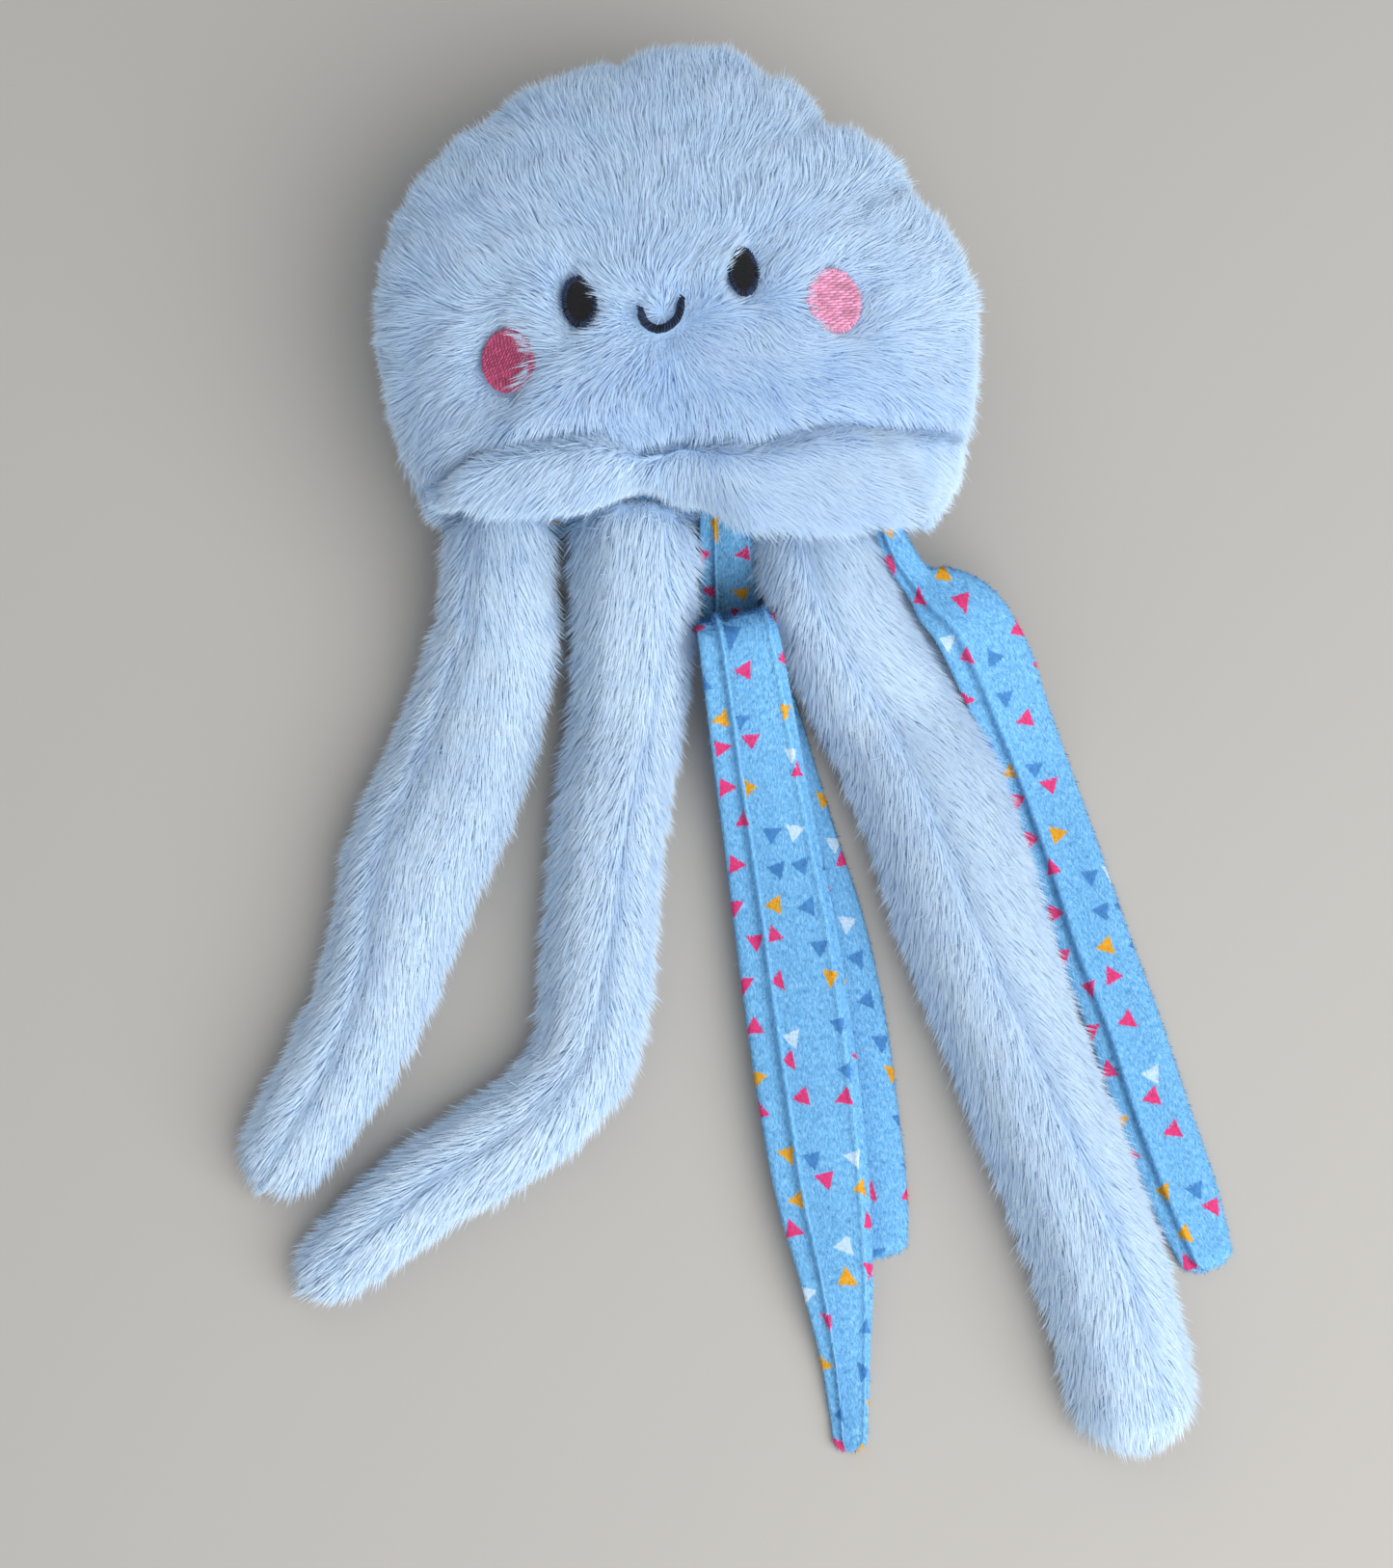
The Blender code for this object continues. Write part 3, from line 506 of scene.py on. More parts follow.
def lay_tube(points, section, inset, rows, steps, tip, comb=None, pleat_light_and_shade=()):
    """A grid primitive rolled round a path of changing sections and closed at both ends."""
    track = path(points)
    length = track[1][-1]
    plain = np.linspace(0.0, 1.0 - tip / length, rows)
    turns = np.radians((14, 28, 42, 55, 67, 78, 86))
    shares = np.concatenate([plain, 1.0 - tip / length + (tip + 1.0) / length * np.sin(turns)])
    draws = np.concatenate([np.ones(rows), np.cos(turns)])
    stations = walk(track, np.minimum(shares, 1.0))
    rings, arcs, sides, heads = [], [], [], []
    for i, (x, y, z, width, thickness) in enumerate(stations):
        near, far = stations[max(0, i - 1)], stations[min(len(stations) - 1, i + 1)]
        tangent = unit(far[:3] - near[:3]) if np.linalg.norm(far[:3] - near[:3]) > 1e-6 else heads[-1]
        side = unit(np.array((-tangent[1], tangent[0], 0.0)))
        if i < 2:
            side, tangent = np.array((1.0, 0.0, 0.0)), np.array((0.0, -1.0, 0.0))
        if side[0] < 0.0:
            side = -side
        up = unit(np.cross(side, tangent))
        if up[2] < 0.0:
            up = -up
        ring, arc = round_ring(section(shares[i], width - 2.0 * inset, thickness - 1.5 * inset), steps)
        middle = 0.42 * thickness * (1.0 - draws[i])
        overshoot = max(0.0, shares[i] - 1.0) * length
        place = np.array((x, y, z + 0.35 * inset)) + tangent * overshoot
        solid = place + np.outer(ring[:, 0] * draws[i], side) + np.outer(ring[:, 1] * draws[i] + middle, up)
        if i == 0:
            solid[:, 1] = UNDERSIDE_Y - 0.4
        solid[:, 2] = np.maximum(0.6, solid[:, 2])
        rings.append(solid)
        arcs.append(np.append(arc, arc[-1] + arc[1]))
        sides.append(ring[:, 0])
        heads.append(tangent)
    count = len(rings)
    sheet = bmesh.new()
    bmesh.ops.create_grid(sheet, x_segments=steps, y_segments=count - 1, size=1.0)
    flat = sheet.loops.layers.uv.new("OFBake")
    cloth = sheet.loops.layers.float_vector.new("cloth_place_and_shade")
    lie = sheet.verts.layers.float_vector.new("comb")
    spread = sheet.verts.layers.float_vector.new("parting")
    spot = {vertex: (round((vertex.co.y + 1.0) / 2.0 * (count - 1)), round((vertex.co.x + 1.0) / 2.0 * steps))
            for vertex in sheet.verts}
    for face in sheet.faces:
        for loop in face.loops:
            row, step = spot[loop.vert]
            loop[flat].uv = (0.01 + 0.98 * step / steps, 0.02 + 0.96 * row / (count - 1))
            across = 2.0 * sides[row][step % steps] / stations[row][3]
            # Painted light on the folds and painted shade in the pleats, carried as the cloth's third
            # coordinate.
            tone = sum(rise * math.exp(-((across - middle) / wide) ** 2) for middle, rise, wide in pleat_light_and_shade)
            travel = shares[row] * length
            # Painted shade in the front tentacle's hollow and along its first stretch from the root under the
            # band.
            if VALLEY_SIDE_SHADE in pleat_light_and_shade:
                middle, half, dark = VALLEY_SHADE
                tone -= (dark * math.exp(-((travel - middle) / half) ** 2)
                         + 0.10 * float(smooth_step(66.0, 56.0, travel)))
            loop[cloth] = Vector((arcs[row][step], travel, tone))
    for vertex, (row, step) in spot.items():
        vertex.co = rings[row][step % steps]
        if comb:
            vertex[lie], away = comb(shares[row], sides[row][step % steps], stations[row][3], heads[row])
            vertex[spread] = (away, shares[row], 0.0)
        else:
            vertex[lie] = heads[row]
    bmesh.ops.remove_doubles(sheet, verts=sheet.verts, dist=0.01)
    old = set(sheet.faces)
    bmesh.ops.holes_fill(sheet, edges=[edge for edge in sheet.edges if edge.is_boundary], sides=0)
    caps = [face for face in sheet.faces if face not in old]
    for face in caps:
        for k, loop in enumerate(face.loops):
            turn = 2.0 * math.pi * k / len(face.loops)
            high = 0.99 if face.calc_center_median().y < UNDERSIDE_Y - 5.0 else 0.01
            loop[flat].uv = (0.5 + 0.05 * math.cos(turn), high + 0.008 * math.sin(turn))
            loop[cloth] = Vector((0.0, 0.0, 0.0))
    bmesh.ops.triangulate(sheet, faces=caps)
    bmesh.ops.recalc_face_normals(sheet, faces=sheet.faces)
    if sheet.calc_volume(signed=True) < 0.0:
        bmesh.ops.reverse_faces(sheet, faces=sheet.faces)
    return sheet


# Pile

def choose(surface, count, rng, weight):
    """Random triangles of a surface, by area and weight, with a random place on each."""
    a, b, c = (surface["points"][surface["triangles"][:, k]] for k in range(3))
    crossed = np.cross(b - a, c - a)
    share = np.linalg.norm(crossed, axis=1) * weight((a + b + c) / 3.0, unit(crossed))
    chosen = rng.choice(len(share), count, p=share / share.sum())
    u, v = rng.random(count), rng.random(count)
    over = u + v > 1.0
    u[over], v[over] = 1.0 - u[over], 1.0 - v[over]
    return chosen, np.column_stack([1.0 - u - v, u, v])[:, :, None]


def scatter(surface, count, rng, weight, keep=None):
    """Roots spread over a surface, with what its vertices carry."""
    chosen, place = choose(surface, count, rng, weight)
    corners = surface["triangles"][chosen]
    carried = {name: (values[corners] * place).sum(axis=1)
               for name, values in surface.items() if name != "triangles"}
    if keep is not None:
        good = keep(carried["points"])
        carried = {name: values[good] for name, values in carried.items()}
    carried["normals"] = unit(carried["normals"])
    return carried


def nearest_of(points, leaders):
    """For each point, which of the leading points is nearest, and how far off."""
    tree = KDTree(len(leaders))
    for i, index in enumerate(leaders):
        tree.insert(points[index], i)
    tree.balance()
    found = [tree.find(point)[1:] for point in points]
    return leaders[np.array([item[0] for item in found])], np.array([item[1] for item in found])


def grow_pile(name, roots, facing, comb, lean, length, sizes, seed,
              gather=0.16, shadow=0.0, stray=1.0):
    """A mesh of fine blades combed over a cloth: long bent ones through a straight undercoat.

    gather draws the tips of a tuft together, shadow darkens the blades as painted shade (below zero it lightens
    them as painted light), stray scatters them.
    """
    rng = np.random.default_rng(seed)
    count = len(roots)
    bent = int(LONG_SHARE * count)
    under = np.arange(count) >= bent
    comb = unit(comb)
    straight = (comb * facing).sum(axis=1)
    lean = lean * (1.0 - 0.6 * smooth_step(0.9, 1.0, straight))
    along = unit(comb - facing * straight[:, None] + rng.normal(0.0, 0.02, (count, 3)))
    along = unit(along - facing * (along * facing).sum(axis=1)[:, None])
    side = np.cross(facing, along)
    turn = stray * (0.16 * drift(roots, 46.0, seed + 1) + 0.13 * drift(roots, 15.0, seed + 2)
                    + rng.normal(0.0, 0.13, count)) + np.where(under, rng.normal(0.0, 0.6, count), 0.0)
    along = along * np.cos(turn)[:, None] + side * np.sin(turn)[:, None]
    lean = lean + stray * (0.10 * drift(roots, 17.0, seed + 3) + rng.normal(0.0, 0.10, count))
    length = length * (1.0 + np.clip(rng.normal(0.0, 0.14, count), -0.4, 0.35)) * np.where(under, 0.72, 1.0)
    flat_lean = np.maximum(lean, 1.08 + 0.12 * rng.normal(size=count))
    root_lean, tip_lean = np.where(under, flat_lean, 0.88 * lean), np.where(under, flat_lean, 1.12 * lean)
    root_way = facing * np.cos(root_lean)[:, None] + along * np.sin(root_lean)[:, None]
    tip_way = facing * np.cos(tip_lean)[:, None] + along * np.sin(tip_lean)[:, None]
    middle = roots + root_way * (0.5 * length)[:, None]
    tip = middle + tip_way * (0.5 * length)[:, None]
    leaders = rng.choice(count, max(1, count // TUFT_BLADES), replace=False)
    lead, away = nearest_of(roots, leaders)
    pull = (gather * rng.uniform(0.3, 1.0, count))[:, None]
    tip = tip + (tip[lead] - tip) * pull
    middle = middle + (middle[lead] - middle) * pull * 0.4
    middle[:, 2] = np.maximum(middle[:, 2], 0.4)
    tip[:, 2] = np.maximum(tip[:, 2], 0.3)
    heading = unit(tip - roots)
    open_way = unit(facing + np.outer(0.9 * (1.0 - np.abs(facing[:, 2])), (0.0, 0.0, 1.0)))
    across = unit(np.cross(heading, open_way))
    roll = rng.uniform(-0.4, 0.4, count)[:, None]
    across = across * np.cos(roll) + open_way * np.sin(roll)
    half = (0.5 * sizes.blade_width / MM * rng.uniform(0.7, 1.3, count) * np.where(under, 1.6, 1.0))[:, None]
    long, short = np.arange(bent), np.arange(bent, count)
    points = np.concatenate([
        np.stack([roots, middle - across * half, middle + across * half, tip], axis=1)[long].reshape(-1, 3),
        np.stack([roots - across * half, roots + across * half, tip], axis=1)[short].reshape(-1, 3)])
    first = long[:, None] * 4
    last = 4 * bent + (short[:, None] - bent) * 3
    triangles = np.concatenate([first + (0, 2, 1), first + (1, 2, 3), last + (0, 1, 2)])
    own = rng.normal(size=count)
    # Tone differs at random, with painted shade at the edges of each tuft and wherever shadow is set.
    tone = (0.70 + stray * (0.035 * own[lead] + 0.04 * rng.normal(size=count))
            + 0.06 * drift(roots, 24.0, seed + 4)
            - 0.02 * (away / max(1e-6, float(np.median(away))) - 1.0)
            + np.where(under, 0.03, 0.0) - shadow)
    tone = np.clip(tone, 0.04, 0.96)
    low, mid, high = np.full(count, 0.02), np.full(count, 0.5), np.full(count, 0.98)
    coords = np.concatenate([
        np.stack([tone, low, tone - 0.012, mid, tone + 0.012, mid, tone, high],
                 axis=1)[long].reshape(-1, 2),
        np.stack([tone - 0.012, low, tone + 0.012, low, tone, 0.9 * high],
                 axis=1)[short].reshape(-1, 2)])
    level = unit(open_way - heading * (open_way * heading).sum(axis=1)[:, None])
    jitter = rng.normal(0.0, 0.04, (count, 3))[lead] + rng.normal(0.0, 0.03, (count, 3))
    jitter *= np.reshape(stray, (-1, 1))
    shade = unit(0.6 * open_way + 0.4 * level + jitter)
    return blade_mesh(name, points, triangles, coords,
                      np.concatenate([np.repeat(shade[long], 4, axis=0), np.repeat(shade[short], 3, axis=0)]))


def blade_mesh(name, points, triangles, coords, normals):
    """A mesh of loose blades lit by the cloth that they stand on."""
    mesh = bpy.data.meshes.new(name)
    mesh.from_pydata(points, [], triangles)
    flat = mesh.uv_layers.new(name="OFBake")
    flat.data.foreach_set("uv", coords[triangles.ravel()].ravel())
    mesh.shade_smooth()
    mesh.normals_split_custom_set_from_vertices(normals)
    return mesh


def head_comb(points, facing):
    """The pile of the face, combed out from the mouth and over the edge."""
    away = unit(points[:, :2] - FACE_CENTRE) * (0.8, 1.0)
    rise = points[:, 1] - FACE_CENTRE[1]
    away[:, 1] += 1.0 * smooth_step(0.0, 55.0, rise) - 0.3 * smooth_step(0.0, 40.0, -rise)
    turn = 0.35 * drift(points, 44.0, 5) + 0.22 * drift(points, 21.0, 6)
    away = unit(away)
    away = away * np.cos(turn)[:, None] + away[:, ::-1] * (-1.0, 1.0) * np.sin(turn)[:, None]
    return np.column_stack([away, -0.35 - 0.65 * (1.0 - np.clip(facing[:, 2], 0.0, 1.0))])


def band_comb(points):
    """The pile of the rolled band, fanned out and down from the dip between its lobes."""
    swing = np.clip((points[:, 0] - BAND_CENTRE[0]) / 26.0, -1.2, 2.0)
    inside = smooth_step(-2.0, 3.0, under_notch(points))
    swing = swing * (1.0 - inside) + (points[:, 0] + 20.0) / 70.0 * inside
    meeting = np.exp(-(above_crease(points) / 5.0) ** 2)
    return np.column_stack([swing, -1.0 + 1.9 * meeting, (-0.7 + 0.4 * inside) * (1.0 - meeting)])


def under_notch(points):
    """Millimetres below the edge of the notch, below zero on the lobes beside it."""
    return table_value(NOTCH, points[:, 0]) - points[:, 1]


def above_crease(points):
    """Millimetres above the crease line, below zero on the rolled band."""
    return points[:, 1] - table_value(CREASE_LINE, points[:, 0])


def below_crease(points):
    """True for roots on the rolled band."""
    return (above_crease(points) < 0.0) & (
        (points[:, 2] > UNDERSIDE_TOP - 8.0) | (np.abs(points[:, 0]) < 75.0))


def face_reach(points, comb, length):
    """Length of the pile, short at the stitching and the crease, and how far it falls over the stitching."""
    reach, fall = np.full(len(points), length), np.zeros(len(points))
    for patch, (cover, veiled, lowest) in zip(FACE_PATCHES, FACE_VEILS):
        far = oval_distance(patch, points)
        towards = unit(np.array(patch[1]) - points[:, :2])
        share = np.clip(1.6 * veiled * towards[:, 0] - 0.6, 0.0, 1.0) * (
            1.0 - smooth_step(lowest, lowest + 0.4, towards[:, 1]))
        fall = np.maximum(fall, share * smooth_step(7.0, 2.0, far))
        facing = np.maximum(0.25, (unit(comb[:, :2]) * towards).sum(axis=1))
        at_it = np.maximum(1.5, far + (cover * share - 1.0)) / 0.88 / facing
        beside = length * (0.45 + 0.55 * smooth_step(0.0, 7.0, far))
        limit = np.where((comb[:, :2] * towards).sum(axis=1) > 0.0, at_it, beside)
        reach = np.minimum(reach, limit)
    far = smile_distance(points) - SMILE_WIDTH / 2.0
    reach = np.minimum(reach, np.maximum(3.0, 3.0 + 0.9 * far))
    above = np.maximum(0.0, above_crease(points))
    return np.minimum(reach * (0.66 + 0.34 * smooth_step(0.0, 13.0, above)), 4.6 + 1.0 * above), fall


def off_stitching(points):
    """True for roots outside the stitched ovals and line."""
    clear = smile_distance(points) > SMILE_WIDTH / 2.0 - 0.3
    for patch in FACE_PATCHES:
        clear &= oval_distance(patch, points) > -0.4
    return clear


# Materials

def new_material(name):
    """A material with its Principled shader ready to wire."""
    material = bpy.data.materials.new(name)
    material.use_nodes = True
    return material, material.node_tree, material.node_tree.nodes["Principled BSDF"]


def put(tree, kind, inputs=(), **settings):
    """Add a node, set its settings, and fill its inputs with values or links."""
    node = tree.nodes.new(kind)
    for name, value in settings.items():
        setattr(node, name, value)
    for key, value in dict(inputs).items():
        if isinstance(value, bpy.types.NodeSocket):
            tree.links.new(value, node.inputs[key])
        else:
            node.inputs[key].default_value = value
    return node


def ramp(tree, factor, stops, interpolation="LINEAR"):
    """A colour ramp with the given (place, colour) stops."""
    node = put(tree, "ShaderNodeValToRGB", {"Fac": factor})
    node.color_ramp.interpolation = interpolation
    stops = [(place, (*colour[:3], 1.0)) for place, colour in stops]
    bands = node.color_ramp.elements
    while len(bands) < len(stops):
        bands.new(0.5)
    for band, (place, colour) in zip(bands, stops):
        band.position = place
        band.color = colour
    return node.outputs["Color"]


def mix(tree, factor, first, second, blend="MIX"):
    """Mix two colours."""
    node = put(tree, "ShaderNodeMix", data_type="RGBA", blend_type=blend)
    for key, value in ((0, factor), (6, first), (7, second)):
        if isinstance(value, bpy.types.NodeSocket):
            tree.links.new(value, node.inputs[key])
        else:
            node.inputs[key].default_value = value if key == 0 else (*value[:3], 1.0)
    return node.outputs[2]


def math_node(tree, operation, first, second):
    """One step of arithmetic."""
    return put(tree, "ShaderNodeMath", {0: first, 1: second}, operation=operation).outputs[0]


def emboss(tree, shader, height, strength, distance):
    """Fine relief, too small to be worth modelling."""
    bump = put(tree, "ShaderNodeBump", {"Height": height, "Strength": strength, "Distance": distance})
    tree.links.new(bump.outputs["Normal"], shader.inputs["Normal"])


def soften(shader, roughness, sheen, sheen_roughness, specular):
    """Set the finish of cloth on the shader's own sockets."""
    shader.inputs["Roughness"].default_value = roughness
    shader.inputs["Sheen Weight"].default_value = sheen
    shader.inputs["Sheen Roughness"].default_value = sheen_roughness
    shader.inputs["Sheen Tint"].default_value = (0.9, 0.95, 1.0, 1.0)
    shader.inputs["Specular IOR Level"].default_value = specular


def fur_material(colours):
    """Pale-blue pile: each blade darker at its root as painted shade deep in the pile and pale at its tip, tuft
    by tuft.
    """
    material, tree, shader = new_material("blue_pile")
    place = put(tree, "ShaderNodeUVMap", uv_map="OFBake").outputs["UV"]
    split = put(tree, "ShaderNodeSeparateXYZ", {0: place})
    deep = ramp(tree, split.outputs["Y"], (
        (0.0, colours.deep_root), (0.5, colours.deep_middle), (1.0, colours.deep_tip)))
    pale = ramp(tree, split.outputs["Y"], (
        (0.0, colours.pale_root), (0.5, colours.pale_middle), (1.0, colours.pale_tip)))
    tree.links.new(mix(tree, split.outputs["X"], deep, pale), shader.inputs["Base Color"])
    soften(shader, 0.8, 0.08, 0.5, 0.2)
    return material


def cloth_material(colours):
    """Knitted backing that the pile grows from."""
    material, tree, shader = new_material("pile_backing")
    place = put(tree, "ShaderNodeTexCoord").outputs["Object"]
    streaks = put(tree, "ShaderNodeTexNoise", {"Vector": place, "Scale": 900.0, "Detail": 3.0})
    patches = put(tree, "ShaderNodeTexNoise", {"Vector": place, "Scale": 60.0, "Detail": 2.0})
    base = ramp(tree, streaks.outputs["Fac"], ((0.3, colours.deep_tip), (0.7, colours.pale_root)))
    base = mix(tree, math_node(tree, "MULTIPLY", patches.outputs["Fac"], 0.5), base, colours.deep_tip)
    # Painted shade: the backing is darkened along the face's crease.
    deep = put(tree, "ShaderNodeAttribute", attribute_name="crease_shade").outputs["Fac"]
    tree.links.new(mix(tree, deep, base, [0.4 * c for c in colours.deep_root]), shader.inputs["Base Color"])
    emboss(tree, shader, streaks.outputs["Fac"], 0.5, 0.0006)
    soften(shader, 0.9, 0.1, 0.5, 0.1)
    return material


def triangle_print(tree, place, colours):
    """Scattered small triangles in four colours on blue, on the cloth's own millimetres."""
    cells = put(tree, "ShaderNodeTexVoronoi", {
        "Vector": place, "Scale": 1.0 / PRINT_SPACING, "Randomness": 0.62}, voronoi_dimensions="2D")
    chance = put(tree, "ShaderNodeSeparateColor", {0: cells.outputs["Color"]})
    offset = put(tree, "ShaderNodeVectorMath", {0: place, 1: cells.outputs["Position"]}, operation="SUBTRACT")
    angle = math_node(tree, "MULTIPLY", chance.outputs["Red"], 2.0 * math.pi)
    turned = put(tree, "ShaderNodeVectorRotate", {"Vector": offset.outputs[0], "Angle": angle},
                 rotation_type="Z_AXIS")
    reach = None
    for degrees in (90.0, 210.0, 330.0):
        facing = (math.cos(math.radians(degrees)), math.sin(math.radians(degrees)), 0.0)
        away = put(tree, "ShaderNodeVectorMath", {0: turned.outputs[0], 1: facing},
                   operation="DOT_PRODUCT").outputs["Value"]
        reach = away if reach is None else math_node(tree, "MAXIMUM", reach, away)
    edge = PRINT_SIDE / 3.46
    inside = put(tree, "ShaderNodeMapRange", {"Value": reach, "From Min": edge + 0.25, "From Max": edge - 0.25},
                 interpolation_type="SMOOTHSTEP")
    ink = ramp(tree, chance.outputs["Green"], (
        (0.0, colours.print_pink), (0.38, colours.print_yellow), (0.67, colours.print_blue),
        (0.87, colours.print_white)), "CONSTANT")
    return inside.outputs["Result"], ink


def velour_material(colours, name, own_place=True):
    """Short-pile velour with a scattered triangle print."""
    material, tree, shader = new_material(name)
    if own_place:
        place = put(tree, "ShaderNodeAttribute", attribute_name="cloth_place_and_shade").outputs["Vector"]
    else:
        spot = put(tree, "ShaderNodeTexCoord").outputs["Object"]
        place = put(tree, "ShaderNodeMapping", {"Vector": spot, "Rotation": (math.pi / 2.0, 0.0, 0.0),
                                                "Scale": (1000.0, 1000.0, 1000.0)}).outputs["Vector"]
    inside, ink = triangle_print(tree, place, colours)
    lay = put(tree, "ShaderNodeMapping", {"Vector": place, "Scale": (1.5, 0.4, 0.0)}).outputs["Vector"]
    nap = put(tree, "ShaderNodeTexNoise", {"Vector": lay, "Scale": 1.0, "Detail": 2.0, "Roughness": 0.6})
    shadows = put(tree, "ShaderNodeTexNoise", {"Vector": place, "Scale": 0.09, "Detail": 2.0})
    ground = ramp(tree, nap.outputs["Fac"], ((0.3, colours.print_ground_deep), (0.5, colours.print_ground),
                                            (0.72, colours.print_ground_pale)))
    ground = mix(tree, math_node(tree, "MULTIPLY", shadows.outputs["Fac"], 0.5), ground, colours.print_ground)
    colour = mix(tree, inside, ground, ink)
    light = ramp(tree, nap.outputs["Fac"], ((0.3, (0.72, 0.72, 0.72)), (0.6, (1.0, 1.0, 1.0))))
    colour = mix(tree, 0.5, colour, light, "MULTIPLY")
    if own_place:
        # The third coordinate brightens or darkens the colour: painted light on folds, painted shade in pleats
        # and the hollow, and the nap's tone.
        tone = put(tree, "ShaderNodeSeparateXYZ", {0: place}).outputs["Z"]
        colour = put(tree, "ShaderNodeVectorMath", {0: colour, "Scale": math_node(tree, "ADD", tone, 1.0)},
                     operation="SCALE").outputs[0]
    tree.links.new(colour, shader.inputs["Base Color"])
    emboss(tree, shader, nap.outputs["Fac"], 0.35, 0.0006)
    soften(shader, 0.75, 0.12, 0.4, 0.15)
    return material


def thread_material(name, deep, colour):
    """Shiny embroidery thread, each stitch a little different."""
    material, tree, shader = new_material(name)
    chance = put(tree, "ShaderNodeNewGeometry").outputs["Random Per Island"]
    place = put(tree, "ShaderNodeTexCoord").outputs["Object"]
    twist = put(tree, "ShaderNodeTexNoise", {"Vector": place, "Scale": 1800.0, "Detail": 2.0})
    tint = ramp(tree, chance, ((0.0, deep), (0.55, colour), (1.0, [min(1.0, 1.25 * c) for c in colour[:3]])))
    soft = ramp(tree, twist.outputs["Fac"], ((0.3, (0.78, 0.78, 0.78)), (0.65, (1.0, 1.0, 1.0))))
    tree.links.new(mix(tree, 1.0, tint, soft, "MULTIPLY"), shader.inputs["Base Color"])
    emboss(tree, shader, twist.outputs["Fac"], 0.3, 0.0002)
    soften(shader, 0.5, 0.05, 0.3, 0.3)
    return material


def filling_material():
    """White polyester fibre."""
    material, tree, shader = new_material("white_fibre")
    place = put(tree, "ShaderNodeTexCoord").outputs["Object"]
    fibres = put(tree, "ShaderNodeTexNoise", {
        "Vector": place, "Scale": 220.0, "Detail": 6.0, "Distortion": 1.5})
    tree.links.new(ramp(tree, fibres.outputs["Fac"], (
        (0.35, (0.66, 0.66, 0.64)), (0.65, (0.88, 0.88, 0.86)))), shader.inputs["Base Color"])
    emboss(tree, shader, fibres.outputs["Fac"], 0.6, 0.002)
    soften(shader, 0.95, 0.2, 0.6, 0.1)
    return material


def floor_material(colours):
    """Plain pale floor that fades into the backdrop far from the toy."""
    material, tree, shader = new_material("pale_floor")
    place = put(tree, "ShaderNodeTexCoord").outputs["Object"]
    grain = put(tree, "ShaderNodeTexNoise", {"Vector": place, "Scale": 3.0, "Detail": 2.0})
    colour = colours.floor
    tree.links.new(ramp(tree, grain.outputs["Fac"], (
        (0.3, [0.985 * c for c in colour[:3]]), (0.7, colour))), shader.inputs["Base Color"])
    soften(shader, 0.8, 0.0, 0.5, 0.1)
    away = put(tree, "ShaderNodeVectorMath", {"Vector": place}, operation="LENGTH").outputs["Value"]
    near, far = FLOOR_FADE
    fade = put(tree, "ShaderNodeMapRange", {"Value": away, "From Min": near, "From Max": far},
               interpolation_type="SMOOTHSTEP").outputs["Result"]
    seen = put(tree, "ShaderNodeLightPath").outputs["Is Camera Ray"]
    clear = put(tree, "ShaderNodeBsdfTransparent").outputs["BSDF"]
    both = put(tree, "ShaderNodeMixShader", {"Fac": math_node(tree, "MULTIPLY", fade, seen)})
    tree.links.new(shader.outputs["BSDF"], both.inputs[1])
    tree.links.new(clear, both.inputs[2])
    tree.links.new(both.outputs["Shader"], tree.nodes["Material Output"].inputs["Surface"])
    return material


def shared(name, make):
    """A material made once and used by several pieces."""
    return bpy.data.materials.get(name) or make()


# Properties

def colour_property(name, description, default):
    """A colour that a user may change."""
    return FloatVectorProperty(name=name, description=description, default=default, subtype="COLOR",
                               size=3, min=0.0, max=1.0)


class PlushSizes(bpy.types.PropertyGroup):
    """Sizes of the pile and the threads."""
    pile_length: FloatProperty(name="Pile length", description="Length of the head's pile",
                               default=0.0135, min=0.004, max=0.03, unit="LENGTH")
    tentacle_pile: FloatProperty(name="Tentacle pile", description="Length of the tentacles' pile",
                                 default=0.0120, min=0.004, max=0.03, unit="LENGTH")
    blade_width: FloatProperty(name="Blade width", description="Width of one lock of pile at its root",
                               default=0.00037, min=0.0002, max=0.002, unit="LENGTH")
    nap_length: FloatProperty(name="Nap length", description="Length of the velour's short pile",
                              default=0.0018, min=0.0005, max=0.005, unit="LENGTH")
    thread_radius: FloatProperty(name="Thread radius", description="Half the thickness of the thread",
                                 default=0.00046, min=0.0002, max=0.001, unit="LENGTH")
    face_blades: IntProperty(name="Face blades", description="Locks of pile on the face and sides",
                             default=126000, min=1000, max=128000)
    band_blades: IntProperty(name="Band blades", description="Locks of pile on the rolled band",
                             default=64000, min=1000, max=128000)
    back_blades: IntProperty(name="Back blades", description="Locks of pile on the back of the head",
                             default=48000, min=1000, max=128000)
    nap_blades: IntProperty(name="Nap blades", description="Tufts of nap on each print tentacle",
                            default=26000, min=1000, max=60000)


